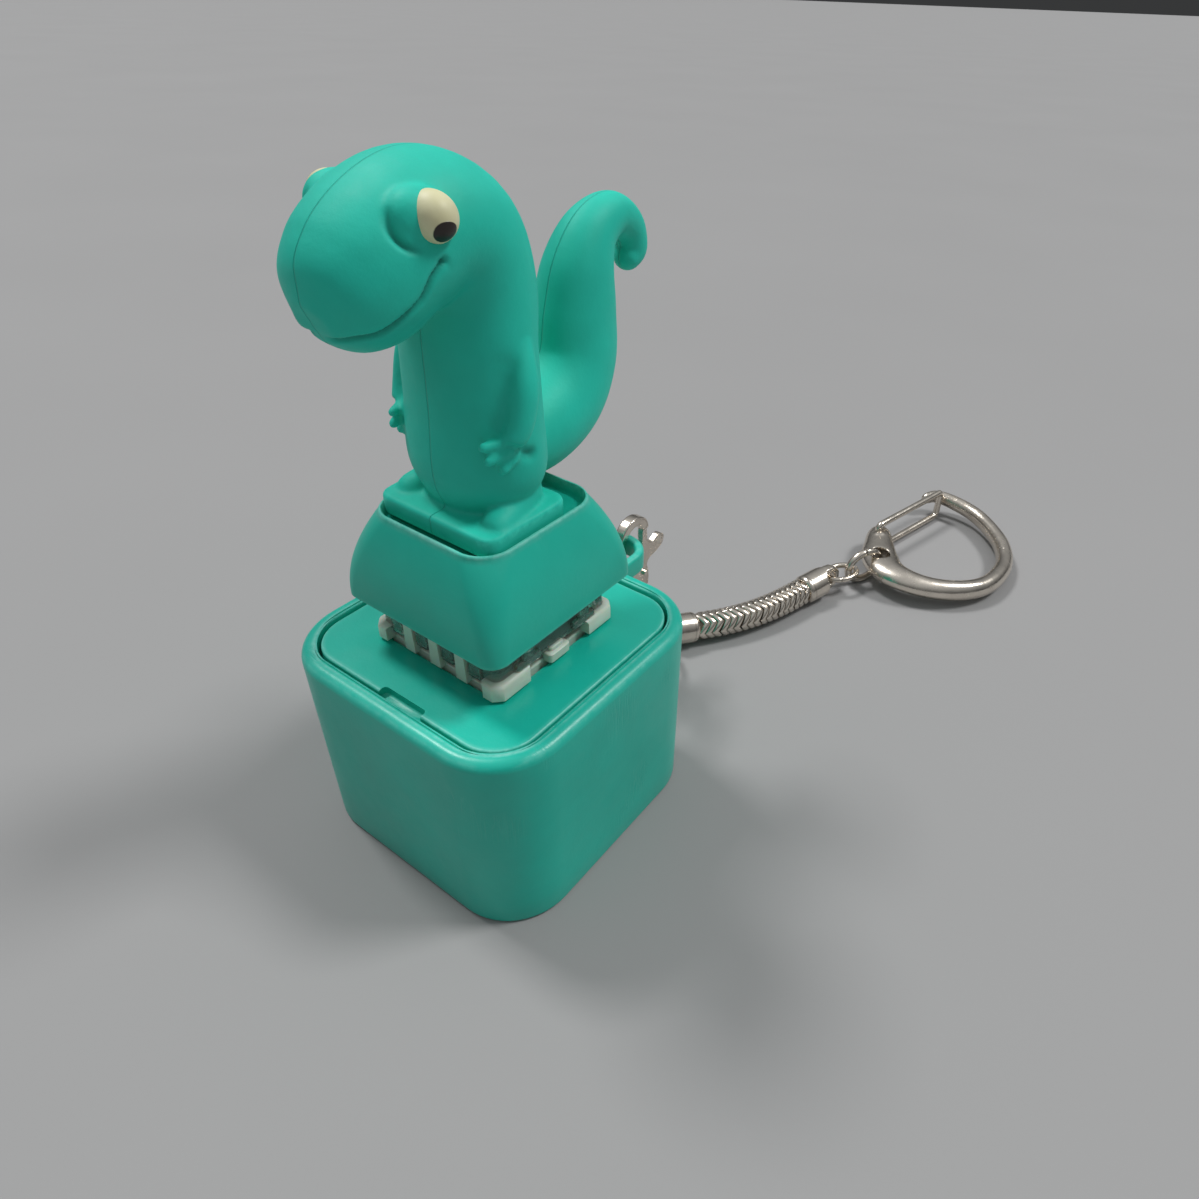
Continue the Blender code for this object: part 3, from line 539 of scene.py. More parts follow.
@dataclass(frozen=True)
class ClearMoulding:
    """Clear or milky moulded plastic."""

    name: str
    colour: tuple[float, float, float]
    clearness: float
    roughness: float
    glow: float

    def material(self) -> bpy.types.Material:
        """Build the finish."""
        g = Graph(self.name)
        deep = tuple(c * 0.93 for c in self.colour)
        tone = g.mix(g.ramp(g.noise(260, 3.0), 0.3, 0.7), (*deep, 1), (*self.colour, 1))
        # Whiter where the edge mask is set: part wear, part painted highlight.
        tone = g.mix(g.calc("MULTIPLY", g.attribute("wear_and_painted_highlight"), 0.5), tone, (0.95, 0.97, 0.94, 1))
        shine = g.ramp(g.noise(500, 4.0), 0.3, 0.7, self.roughness, self.roughness + 0.12)
        normal = g.bump(g.noise(1500, 3.0), 0.00001)
        g.fill(g.shader, {"Base Color": tone, "Roughness": shine, "Normal": normal, "IOR": 1.49,
                          "Transmission Weight": self.clearness, "Subsurface Weight": self.glow,
                          "Subsurface Scale": 0.0012})
        return g.material


@dataclass(frozen=True)
class PlatedMetal:
    """Plated metal with soft polishing marks, painted shade in its hollows and small pits where worn."""

    name: str
    colour: tuple[float, float, float]
    roughness: float

    def material(self) -> bpy.types.Material:
        """Build the finish."""
        g = Graph(self.name)
        dull = tuple(c * 0.80 for c in self.colour)
        tone = g.mix(g.ramp(g.noise(240, 4.0, 0.6), 0.3, 0.7), (*dull, 1), (*self.colour, 1))
        pits = g.calc("MULTIPLY", g.attribute("wear_and_painted_highlight"), g.ramp(g.noise(1500, 3.0, 0.6), 0.50, 0.60))
        tone = g.mix(g.calc("MULTIPLY", pits, 0.75), tone, (0.16, 0.13, 0.09, 1))
        # Painted shade: darker in the hollows that the mesh marks.
        tone = g.mix(g.calc("MULTIPLY", g.attribute("painted_shade"), 0.8), tone, (0.10, 0.085, 0.065, 1))
        marks = g.hairlines(0.9, 0.05)
        shine = g.ramp(g.noise(420, 5.0, 0.6), 0.25, 0.75, self.roughness - 0.05, self.roughness + 0.12)
        shine = g.calc("ADD", shine, g.calc("MULTIPLY", pits, 0.3))
        soft = g.bump(g.noise(520, 3.0, 0.55), 0.00003)
        fine = g.bump(g.calc("SUBTRACT", 1.0, g.calc("MAXIMUM", marks, pits)), 0.00002, soft)
        g.fill(g.shader, {"Base Color": tone, "Roughness": shine, "Normal": fine, "Metallic": 1.0})
        return g.material


@dataclass(frozen=True)
class PaleBoard:
    """Pale matte board under the keyring."""

    name: str
    colour: tuple[float, float, float]

    def material(self) -> bpy.types.Material:
        """Build the finish."""
        g = Graph(self.name)
        deep = tuple(c * 0.97 for c in self.colour)
        tone = g.mix(g.ramp(g.noise(12, 3.0), 0.3, 0.7), (*deep, 1), (*self.colour, 1))
        g.fill(g.shader, {"Base Color": tone, "Roughness": 0.75,
                          "Normal": g.bump(g.noise(900, 3.0), 0.00001)})
        return g.material


TEAL = (0.010, 0.530, 0.405)
TEAL_RUBBER = (0.016, 0.610, 0.465)
NICKEL = (0.80, 0.73, 0.64)


class Finish(Enum):
    """The finishes, by the part that wears them; each is built once."""

    # The second colour of each moulded finish is its paler edge colour: part wear, part painted highlight.
    CASE = Moulded("case_plastic_fine", TEAL, (0.22, 0.70, 0.60), 0.34)
    KEYCAP = Moulded("keycap_plastic_fine", (0.009, 0.510, 0.385), (0.20, 0.66, 0.56), 0.42)
    RUBBER = SoftRubber("figure_rubber_fine", TEAL_RUBBER)
    EYE_RIGHT = PaintedEye("eye_paint_right", (6.40, -6.50, 57.50), 0.78)
    EYE_LEFT = PaintedEye("eye_paint_left", (-6.40, -6.50, 57.50), 0.78)
    MILKY = ClearMoulding("milky_plastic_fine", (0.76, 0.86, 0.74), 0.12, 0.32, 0.25)
    CLEAR = ClearMoulding("clear_plastic_fine", (0.80, 0.88, 0.82), 0.92, 0.06, 0.0)
    STEM = Moulded("stem_plastic_fine", (0.03, 0.09, 0.24), (0.2, 0.3, 0.5), 0.4, glow=0.0)
    COPPER = PlatedMetal("contact_copper_fine", (0.72, 0.42, 0.22), 0.28)
    SPRING = PlatedMetal("spring_wire_fine", (0.60, 0.59, 0.57), 0.25)
    CASTING = PlatedMetal("nickel_plate_fine", NICKEL, 0.20)
    # Dark metal of the chain's core: painted shade that shows between the links.
    CHAIN_SHADE_CORE = PlatedMetal("chain_shade_core_fine", (0.26, 0.22, 0.18), 0.40)
    BOARD = PaleBoard("pale_board", (0.325, 0.322, 0.322))

    def made(self) -> bpy.types.Material:
        """The finish's material, built on first use."""
        return bpy.data.materials.get(self.value.name) or self.value.material()

    def dress(self, *pieces: bpy.types.Object) -> None:
        """Give pieces this finish."""
        for piece in pieces:
            piece.data.materials.clear()
            piece.data.materials.append(self.made())

    def redress(self, node: str) -> None:
        """Give a carried-over frame node this finish."""
        for slot in frame["nodes"][node].material_slots:
            slot.material = self.made()


def fit(piece: bpy.types.Object, finish: Finish, body: str, slot: str, *nodes: str) -> None:
    """Dress a piece, let it ride on its body and hide the frame nodes that it stands for.

    Args:
        piece: The finished object.
        finish: Its finish.
        body: The body that it moves with.
        slot: The record's material slot; not used.
        nodes: Frame nodes that it replaces.
    """
    finish.dress(piece)
    for name in ("wear_and_painted_highlight", "painted_shade"):
        if name not in piece.data.attributes:
            paint(piece, name, np.zeros(len(piece.data.vertices)))
    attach(piece, body)
    if nodes:
        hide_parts(*nodes)
    LOG.info("%s: %d faces", piece.name, len(piece.data.polygons))


# ---------------------------------------------------------------- repeats

def repeat_tree() -> bpy.types.NodeTree:
    """Geometry tree that sets copies of a template along a curve, square to it.

    Returns:
        The tree, with inputs Template, Count and Finish.
    """
    tree = bpy.data.node_groups.new("copies_along_curve", "GeometryNodeTree")
    for name, kind in (("Geometry", "NodeSocketGeometry"), ("Template", "NodeSocketObject"),
                       ("Count", "NodeSocketInt"), ("Finish", "NodeSocketMaterial")):
        tree.interface.new_socket(name, in_out="INPUT", socket_type=kind)
    tree.interface.new_socket("Geometry", in_out="OUTPUT", socket_type="NodeSocketGeometry")

    def add(kind: str, **settings: object) -> bpy.types.Node:
        """Add a node with its settings."""
        node = tree.nodes.new(kind)
        for key, value in settings.items():
            setattr(node, key, value)
        return node

    source = add("NodeGroupInput").outputs
    spread = add("GeometryNodeResampleCurve")
    tangent = add("GeometryNodeInputTangent")
    along = add("FunctionNodeAlignRotationToVector", axis="Z")
    level = add("FunctionNodeAlignRotationToVector", axis="Y", pivot_axis="Z")
    level.inputs["Vector"].default_value = UP
    template = add("GeometryNodeObjectInfo")
    copies = add("GeometryNodeInstanceOnPoints")
    real = add("GeometryNodeRealizeInstances")
    finish = add("GeometryNodeSetMaterial")
    sink = add("NodeGroupOutput")
    for start, end in ((source["Geometry"], spread.inputs["Curve"]),
                       (source["Count"], spread.inputs["Count"]),
                       (source["Template"], template.inputs["Object"]),
                       (tangent.outputs["Tangent"], along.inputs["Vector"]),
                       (along.outputs["Rotation"], level.inputs["Rotation"]),
                       (spread.outputs["Curve"], copies.inputs["Points"]),
                       (template.outputs["Geometry"], copies.inputs["Instance"]),
                       (level.outputs["Rotation"], copies.inputs["Rotation"]),
                       (copies.outputs["Instances"], real.inputs["Geometry"]),
                       (real.outputs["Geometry"], finish.inputs["Geometry"]),
                       (source["Finish"], finish.inputs["Material"]),
                       (finish.outputs["Geometry"], sink.inputs["Geometry"])):
        tree.links.new(start, end)
    return tree


def copies_along(name: str, template: bpy.types.Object, path: Sequence[Vector], count: int,
                 finish: Finish) -> bpy.types.Object:
    """Set copies of a template along a path.

    Args:
        name: Name of the new piece.
        template: Object to repeat, with its own Z along the path and its Y upwards.
        path: The path's points in millimetres, from the first copy to the last.
        count: How many copies.
        finish: Finish of the copies.

    Returns:
        One plain mesh object that holds all the copies.
    """
    curve = bpy.data.curves.new(name + "_path", "CURVE")
    curve.dimensions = "3D"
    spline = curve.splines.new("POLY")
    spline.points.add(len(path) - 1)
    for point, place in zip(spline.points, path):
        point.co = (*(place * MM), 1.0)
    guide = bpy.data.objects.new(name + "_path", curve)
    bpy.context.collection.objects.link(guide)
    tree = bpy.data.node_groups.get("copies_along_curve") or repeat_tree()
    modifier = guide.modifiers.new("copies", "NODES")
    modifier.node_group = tree
    socket = {item.name: item.identifier for item in tree.interface.items_tree
              if item.item_type == "SOCKET" and item.in_out == "INPUT"}
    modifier[socket["Template"]] = template
    modifier[socket["Count"]] = count
    modifier[socket["Finish"]] = finish.made()
    bpy.context.view_layer.update()
    graph = bpy.context.evaluated_depsgraph_get()
    mesh = bpy.data.meshes.new_from_object(guide.evaluated_get(graph))
    mesh.name = name
    tidy_normals(mesh)
    shade(mesh)
    piece = bpy.data.objects.new(name, mesh)
    bpy.context.collection.objects.link(piece)
    bpy.data.objects.remove(guide, do_unlink=True)
    return piece


def join(name: str, *pieces: bpy.types.Object) -> bpy.types.Object:
    """Join plain mesh objects into one, and remove them."""
    bm = bmesh.new()
    for piece in pieces:
        bm.from_mesh(piece.data)
    mesh = bpy.data.meshes.new(name)
    bm.to_mesh(mesh)
    bm.free()
    shade(mesh)
    for piece in pieces:
        bpy.data.objects.remove(piece, do_unlink=True)
    obj = bpy.data.objects.new(name, mesh)
    bpy.context.collection.objects.link(obj)
    return obj


# ---------------------------------------------------------------- case and plate

@dataclass
class Case:
    """Square case with its lug, and the plate that carries the switch."""

    corner: float = 6.6
    foot_corner: float = 6.3
    draft: float = 0.2
    foot_round: float = 0.4
    top_round: float = 0.95
    rim_groove: float = 0.12
    wall_gap: float = 0.3
    plate_corner: float = 4.0
    cavity: float = 11.2
    floor: float = 1.6
    edge_round: float = 0.22
    switch_hole: float = 7.15
    lug_hole_y: float = 17.5
    lug_z: float = 19.1
    lug_half_width: float = 3.4
    lug_root_y: float = 13.2
    lug_straight_y: float = 15.6
    lug_bar: float = 0.5
    lug_half_height: float = 1.2
    lug_edge: float = 0.42

    def build(self) -> None:
        """Make the case and the plate."""
        self.shell()
        self.plate()

    def shell(self) -> None:
        """Case wall, rim, ledge and hollow, with the lug's loop on the back."""
        low, high = box_mm("case_shell")
        plate_low, plate_high = box_mm("switch_plate")
        half, top = high.x, high.z
        foot = half - self.draft
        mouth = plate_high.x + self.wall_gap
        mouth_corner = self.plate_corner + self.wall_gap
        rows = [(foot - self.foot_round, self.foot_corner - self.foot_round, low.z)]
        for step in range(1, 5):
            angle = math.radians(90 * step / 4)
            inset = self.foot_round * (1 - math.sin(angle))
            rows.append((foot - inset, self.foot_corner - inset, self.foot_round * (1 - math.cos(angle))))
        shoulder = top - self.top_round
        for step in range(1, 9):
            share = step / 8
            rows.append((foot + self.draft * share,
                         self.foot_corner + (self.corner - self.foot_corner) * share,
                         self.foot_round + (shoulder - self.foot_round) * share))
        for step in range(1, 9):
            angle = math.radians(90 * step / 8)
            inset = self.top_round * (1 - math.cos(angle))
            rows.append((half - inset, self.corner - inset, shoulder + self.top_round * math.sin(angle)))
        band = half - self.top_round
        groove = self.rim_groove
        line = band - 0.30
        for reach, drop in ((0.0, 0.0), (0.06, groove), (0.16, groove), (0.22, 0.0)):
            rows.append((line - reach, self.corner - (half - line) - reach, top - drop))
        for reach, drop in ((0.22, 0.0), (0.08, 0.04), (0.0, 0.2), (0.0, top - plate_low.z + self.wall_gap)):
            rows.append((mouth + reach, mouth_corner + reach, top - drop))
        ledge = plate_low.z - self.wall_gap
        rows += [(mouth - 1.3, mouth_corner - 1.3, ledge), (self.cavity, 2.9, self.floor + 0.4),
                 (self.cavity - 0.4, 2.5, self.floor)]
        case = Shape().skin([rounded_rectangle(h, h, c, z) for h, c, z in rows])
        self.add_lug(case, high.y)
        piece = case.piece("case_body", 60)
        # Paler marks on the rim: the top edge is part wear and part painted highlight; the lines along the
        # rim groove and the mouth are painted highlight.
        places, _ = read_points(piece)
        reach = np.maximum(abs(places[:, 0]), abs(places[:, 1]))
        edge = np.exp(-((places[:, 2] - (top - 0.30)) / 0.16) ** 2) * (reach > band - 0.2)
        ridge = self.outline_gap(places, line + 0.02, self.corner - (half - line))
        mouth_line = self.outline_gap(places, mouth + 0.15, mouth_corner + 0.15)
        on_rim = places[:, 2] > top - 0.08
        paint(piece, "wear_and_painted_highlight", np.clip(edge * 0.38 + (ridge * 0.8 + mouth_line * 0.7) * on_rim, 0, 1))
        fit(piece, Finish.CASE, "case", "case_plastic", "case_shell")

    def outline_gap(self, places: np.ndarray, half: float, corner: float) -> np.ndarray:
        """Closeness of places to a rounded square outline, seen from above."""
        outer = np.maximum(abs(places[:, :2]) - (half - corner), 0.0)
        reach = np.hypot(outer[:, 0], outer[:, 1]) - corner
        return np.exp(-(reach / 0.10) ** 2)

    def add_lug(self, case: Shape, reach: float) -> None:
        """Add the lug: a flat-sided loop that runs out of the back wall and in again.

        Args:
            case: The shape to add it to.
            reach: How far out along Y the loop goes.
        """
        radius = reach - self.lug_bar - self.lug_hole_y
        side = self.lug_half_width - self.lug_bar
        z = self.lug_z
        path = [Vector((side, y, z)) for y in (self.lug_root_y, self.lug_straight_y)]
        for i in range(25):
            angle = math.pi * i / 24
            path.append(Vector((side * math.cos(angle), self.lug_hole_y + radius * math.sin(angle), z)))
        path += [Vector((-side, y, z)) for y in (self.lug_straight_y, self.lug_root_y)]
        section = rounded_rectangle(self.lug_bar, self.lug_half_height, self.lug_edge, 0.0, 5, 1)
        rings = []
        for i, point in enumerate(path):
            before, after = path[max(i - 1, 0)], path[min(i + 1, len(path) - 1)]
            across = (after - before).normalized().cross(UP)
            rings.append([point + across * offset.x + UP * offset.y for offset in section])
        case.skin(rings)

    def plate(self) -> None:
        """Inset plate with its square hole, chamfered edge and pry notch."""
        low, high = box_mm("switch_plate")
        half, corner, hole = high.x, self.plate_corner, self.switch_hole
        rows = [(half, corner, low.z)]
        for step in range(6):
            angle = math.radians(90 * step / 5)
            inset = self.edge_round * (1 - math.cos(angle))
            rows.append((half - inset, corner - inset, high.z - self.edge_round * (1 - math.sin(angle))))
        rows += [(half - 0.5, corner - 0.5, high.z), (half - 2.4, corner - 1.6, high.z),
                 (hole + 0.3, 0.8, high.z), (hole, 0.5, high.z - 0.1), (hole, 0.5, low.z)]
        plate = Shape().skin([rounded_rectangle(h, h, c, z) for h, c, z in rows], closed=True)
        piece = plate.piece("switch_plate_fine", 60)
        notch = Shape().block((-1.8, -half - 1.0, high.z - 0.8), (3.3, -half + 0.75, high.z + 1.0), 0.35, 0.1)
        cut(piece, notch)
        shade(piece.data)
        places, _ = read_points(piece)
        # Painted highlight: a pale line along the plate's top edge.
        edge = self.outline_gap(places, half - 0.1, corner - 0.1) * (places[:, 2] > high.z - 0.2)
        paint(piece, "wear_and_painted_highlight", edge * 0.85)
        fit(piece, Finish.CASE, "case", "case_plastic", "switch_plate")


# ---------------------------------------------------------------- key switch

@dataclass
class KeySwitch:
    """Key switch: milky lower housing, clear upper housing, stem, contacts and spring."""

    seat: float = 20.75
    flange_half: float = 7.8
    corner_short: float = 1.8
    corner_long: float = 3.9
    corner_height: float = 1.55
    rib_width: float = 1.25
    rib_top: float = 25.4

    def build(self) -> None:
        """Make the housings and dress the pieces inside."""
        self.lower_housing()
        self.upper_housing()
        for node in ("fixed_contact", "moving_contact"):
            Finish.COPPER.redress(node)
        Finish.SPRING.redress("return_spring")
        Finish.STEM.redress("switch_stem")

    def lower_housing(self) -> None:
        """Flange with four corner blocks, side tabs, ribs, and the cup below the plate."""
        low, _ = box_mm("switch_lower_housing")
        base, top = self.seat, self.seat + self.corner_height
        f = self.flange_half
        rings = [rounded_rectangle(h, h, c, z, 5, 6) for h, c, z in (
            (6.55, 0.4, 15.45), (6.85, 0.5, 15.85), (6.85, 0.5, base), (f - 0.9, 0.6, base),
            (f - 0.9, 0.6, base + 0.1), (f - 1.0, 0.6, base + 0.2), (5.9, 0.5, base + 0.2),
            (5.9, 0.5, 16.45))]
        housing = Shape().skin(rings)
        housing.turn([(0.0, 1.7), (0.3, 2.0), (3.6, 2.0)], Vector((0, 0, low.z)), UP)
        housing.turn([(0.0, 1.1), (4.1, 1.1), (4.3, 0.9)], Vector((0, 0, 15.8)), UP, 24)
        for sign_x in (-1, 1):
            for sign_y in (-1, 1):
                self.corner_block(housing, sign_x, sign_y, base, top)
            near_x, far_x = sorted((sign_x * 6.6, sign_x * f))
            housing.block((near_x, -1.3, base), (far_x, 1.3, base + 0.95), 0.3)
            near_x, far_x = sorted((sign_x * 6.6, sign_x * (f - 0.35)))
            housing.block((near_x, -0.85, base + 0.85), (far_x, 0.85, base + 1.35), 0.25)
        piece = housing.piece("switch_lower_fine", 35)
        half = self.rib_width / 2
        height = self.rib_top - base
        template = Shape().skin([[Vector((depth, rise, width * half)) for rise, width in
                                  ((0.0, -1.0), (height, -0.78), (height, 0.78), (0.0, 1.0))]
                                 for depth in (-0.3, 0.3)]).piece("rib_template")
        ribs = []
        for sign in (-1, 1):
            path = [Vector((-3.3, sign * 7.15, base)), Vector((3.1, sign * 7.15, base))]
            ribs.append(copies_along(f"rib_row_{sign}", template, path, 3, Finish.MILKY))
        bpy.data.objects.remove(template, do_unlink=True)
        piece = join("switch_lower_fine", piece, *ribs)
        fit(piece, Finish.MILKY, "case", "milky_plastic", "switch_lower_housing")

    def corner_block(self, housing: Shape, sign_x: int, sign_y: int, base: float, top: float) -> None:
        """Add one L-shaped corner block with a chamfered outer corner."""
        f, short, long = self.flange_half, self.corner_short, self.corner_long
        inner = f - 1.2
        outline = [(f, f - 0.75), (f - 0.75, f), (f - short, f), (f - short, inner),
                   (inner - 0.4, inner - 0.6), (inner - 0.4, f - long), (f, f - long)]
        rings = []
        for inset, z in ((0.0, base), (0.0, top - 0.35), (0.12, top - 0.1), (0.3, top)):
            rings.append([Vector((sign_x * (x - inset), sign_y * (y - inset), z)) for x, y in outline])
        housing.skin(rings)

    def upper_housing(self) -> None:
        """Clear cover that tapers to the stem's opening, with its four latch legs."""
        low, high = box_mm("switch_upper_housing")
        foot, top = low.z, high.z
        rings = [rounded_rectangle(x, y, c, z, 5, 6) for x, y, c, z in (
            (7.2, 7.2, 0.8, foot), (7.1, 7.1, 0.8, foot + 1.5), (6.9, 6.9, 0.85, foot + 1.7),
            (5.4, 5.0, 0.9, top - 0.4), (5.3, 4.9, 0.9, top - 0.2), (5.0, 4.6, 0.8, top),
            (3.8, 3.0, 0.4, top), (3.8, 3.0, 0.4, top - 0.8), (6.1, 6.1, 0.5, foot + 1.4),
            (6.4, 6.4, 0.5, foot))]
        cover = Shape().skin(rings, closed=True)
        for sign_x in (-1, 1):
            for y in (-3.6, 3.6):
                inner, outer = sorted((sign_x * 7.0, sign_x * 7.55))
                cover.block((inner, y - 1.5, foot + 0.2), (outer, y + 1.5, foot + 1.0), 0.15)
                cover.block((inner, y - 0.7, foot + 0.9), (outer, y + 0.7, foot + 3.1), 0.15)
        for sign_y in (-1, 1):
            for x in (-4.85, -1.7, 1.5, 4.7):
                inner, outer = sorted((sign_y * 6.7, sign_y * 7.38))
                cover.block((x - 0.72, inner, foot - 0.1), (x + 0.72, outer, foot + 3.3), 0.12)
        piece = cover.piece("switch_upper_fine", 35)
        fit(piece, Finish.CLEAR, "case", "clear_plastic", "switch_upper_housing")


# ---------------------------------------------------------------- keycap and figure

@dataclass
class Keycap:
    """Tapered keycap with full sides and a shallow recess on top."""

    base_half: float = 9.1
    base_corner: float = 1.6
    rim_half: float = 7.05
    rim_corner: float = 3.0
    recess_half: float = 6.65
    recess: float = 1.0
    bulge: float = 0.6
    wall: float = 1.2
    ceiling: float = 31.4
    rim_round: float = 0.28
    boss_radius: float = 2.7
    boss_foot: float = 27.35

    def half_at(self, t: float) -> float:
        """Half width of the outside at a share of the height, with its bulge."""
        return self.base_half + (self.rim_half - self.base_half) * t + self.bulge * 4 * t * (1 - t)

    def build(self) -> None:
        """Make the shell and the boss that grips the stem."""
        low, high = box_mm("keycap")
        foot, rim = low.z, high.z
        height = rim - foot - self.rim_round
        rows = [(6.6, 1.0, self.ceiling), (6.85, 1.0, self.ceiling - 0.25)]
        for t in (0.56, 0.42, 0.28, 0.14):
            rows.append((self.half_at(t) - self.wall, 0.9, foot + height * t))
        rows += [(self.base_half - self.wall, 0.9, foot), (self.base_half - 0.12, self.base_corner, foot)]
        for step in range(25):
            t = step / 24
            half = self.half_at(t)
            corner = self.base_corner + (self.rim_corner - self.base_corner) * t
            rows.append((half, corner, foot + 0.08 + (height - 0.08) * t))
        for step in range(1, 6):
            angle = math.radians(90 * step / 5)
            inset = 0.22 * (1 - math.cos(angle))
            rows.append((self.rim_half - inset, self.rim_corner - inset,
                         rim - self.rim_round + self.rim_round * math.sin(angle)))
        inner = self.recess_half
        rows += [(inner + 0.10, self.rim_corner - 0.42, rim),
                 (inner + 0.02, self.rim_corner - 0.5, rim - 0.1),
                 (inner - 0.1, self.rim_corner - 0.6, rim - self.recess + 0.2),
                 (inner - 0.3, self.rim_corner - 0.8, rim - self.recess)]
        cap = Shape().skin([rounded_rectangle(h, h, c, z, 16, 12) for h, c, z in rows])
        radius = self.boss_radius
        cap.turn([(0.0, radius - 0.2), (0.15, radius), (4.4, radius)], Vector((0, 0, self.boss_foot)), UP)
        piece = cap.piece("keycap_fine", 50)
        places, _ = read_points(piece)
        reach = np.maximum(abs(places[:, 0]), abs(places[:, 1]))
        # Paler lines: along the rim part wear and part painted highlight; a paler band at the foot.
        rim_line = np.exp(-((places[:, 2] - rim + 0.1) / 0.16) ** 2) * (reach > 6)
        foot_line = np.exp(-((places[:, 2] - foot) / 0.15) ** 2)
        paint(piece, "wear_and_painted_highlight", np.clip(rim_line * 0.9 + foot_line * 0.5, 0, 1))
        fit(piece, Finish.KEYCAP, "key", "keycap_plastic", "keycap")


@dataclass
class Figure:
    """Long-necked toy animal of soft rubber, on a foot slab in the keycap's recess."""

    neck: tuple = ((0, 0.0, 33.6, 4.2, 3.2), (0, -0.2, 35.6, 5.0, 3.9), (0, -0.3, 38.4, 6.3, 4.7),
                   (0, -0.2, 43.5, 6.2, 4.4), (0, -0.1, 48.0, 6.0, 4.3), (0, 0.2, 52.0, 5.7, 4.6),
                   (0, -0.9, 55.4, 5.6, 4.9), (0, -3.6, 56.6, 5.6, 4.9), (0, -6.6, 55.7, 5.5, 4.9),
                   (0, -9.2, 54.0, 5.0, 4.6), (0, -11.2, 52.8, 3.8, 3.5), (0, -12.4, 52.2, 1.7, 1.5))
    tail: tuple = ((0, 2.0, 38.6, 4.0, 3.6), (0, 5.8, 39.0, 4.4, 4.2), (0, 9.4, 40.4, 4.2, 4.4),
                   (0, 11.6, 43.2, 3.8, 4.2), (0, 12.2, 47.0, 3.4, 3.9), (0, 12.8, 50.4, 3.0, 3.3),
                   (0, 14.3, 53.0, 2.4, 2.5), (0, 17.0, 54.1, 1.9, 1.9), (0, 19.4, 52.9, 1.6, 1.6),
                   (0, 20.2, 50.9, 1.45, 1.45), (0, 19.6, 50.2, 1.3, 1.3))
    arm: tuple = ((5.1, 0.2, 49.2, 0.9), (5.9, -0.6, 46.2, 1.25), (6.1, -1.4, 43.4, 1.15),
                  (5.9, -2.2, 42.0, 1.0))
    fingers: tuple = (((5.8, -2.2, 42.2), (4.9, -4.1, 42.0)), ((5.9, -2.2, 41.4), (5.2, -4.0, 40.9)),
                      ((6.0, -1.6, 40.9), (5.7, -3.0, 40.0)))
    mouth: tuple = ((0.0, -12.5, 51.2), (1.7, -11.9, 51.4), (2.9, -11.3, 51.7), (3.8, -10.4, 52.0),
                    (4.6, -9.3, 52.7), (5.1, -8.0, 53.7), (5.4, -7.2, 54.9), (5.6, -6.2, 55.8))
    cheek: tuple = ((5.2, -6.9, 55.9), (5.6, -6.2, 55.8), (5.7, -5.7, 55.2))
    lower_lid: tuple = ((3.9, -8.9, 59.0), (4.4, -9.0, 57.9), (5.0, -8.5, 57.0), (5.7, -7.5, 56.7),
                        (6.4, -6.3, 56.9), (6.5, -5.3, 57.5))
    upper_lid: tuple = ((4.3, -7.5, 60.3), (4.9, -6.2, 60.3), (5.4, -5.0, 59.8), (5.9, -4.5, 58.8))
    eye: tuple = (4.75, -6.15, 58.25)
    eye_radii: tuple = (1.82, 1.5, 1.58)
    eye_bump: tuple = (3.75, -6.5, 58.1)
    eye_bump_radii: tuple = (1.75, 2.3, 1.95)
    grain: float = 0.19

    def build(self) -> None:
        """Make the body, then the eyes."""
        self.body()
        self.eyes()

    def limb(self, shape: Shape, stations: tuple, sides: int) -> None:
        """Add a limb with rounded ends along rows of (x, y, z, half width, half depth)."""
        rows = smooth_rows(stations, 6)
        shape.tube([Vector(row[:3]) for row in rows], [(row[3], row[4]) for row in rows],
                   Vector((1, 0, 0)), sides)

    def finger(self, shape: Shape, start: Vector, end: Vector, radius: float) -> None:
        """Add one finger or toe: a short bar with round ends."""
        length = (end - start).length
        profile = [(-0.9 * radius, 0.3 * radius), (-0.5 * radius, 0.85 * radius), (0.0, radius),
                   (length, radius), (length + 0.5 * radius, 0.85 * radius),
                   (length + 0.9 * radius, 0.3 * radius)]
        shape.turn(profile, start, end - start, 20)

    def body(self) -> None:
        """Melt neck, head, tail, arms and feet into one skin and press its creases."""
        shape = Shape()
        self.limb(shape, self.neck, 56)
        self.limb(shape, self.tail, 44)
        low, _ = box_mm("figure_body")
        rings = [rounded_rectangle(half, half - 1.85, corner, z, 6, 6) for half, corner, z in (
            (6.45, 1.3, low.z), (6.5, 1.3, 34.9), (6.45, 1.3, 35.15), (6.3, 1.2, 35.2))]
        shape.skin([[point + Vector((0, -1.25, 0)) for point in ring] for ring in rings])
        for side in (-1, 1):
            flip = Vector((side, 1, 1))
            rows = smooth_rows(self.arm, 5)
            shape.tube([Vector(row[:3]) * flip for row in rows], [(row[3], row[3]) for row in rows],
                       Vector((1, 0, 0)), 24)
            for start, end in self.fingers:
                self.finger(shape, Vector(start) * flip, Vector(end) * flip, 0.42)
            shape.ball(Vector(self.eye_bump) * flip, Vector(self.eye_bump_radii))
            shape.ball(Vector((0, 19.6, 50.2)), Vector((1.3, 1.3, 1.3)), 24)
            self.finger(shape, Vector((4.0 * side, 1.0, 36.0)), Vector((4.9 * side, -3.4, 34.9)), 1.35)
            for toe in (-0.8, 0.5):
                self.finger(shape, Vector(((4.9 + toe) * side, -3.4, 34.8)),
                            Vector(((5.0 + toe) * side, -4.4, 34.6)), 0.55)
        piece = shape.piece("figure_fine")
        cast(piece, self.grain, 10)
        self.sculpt(piece)
        fit(piece, Finish.RUBBER, "key", "figure_rubber", "figure_body")

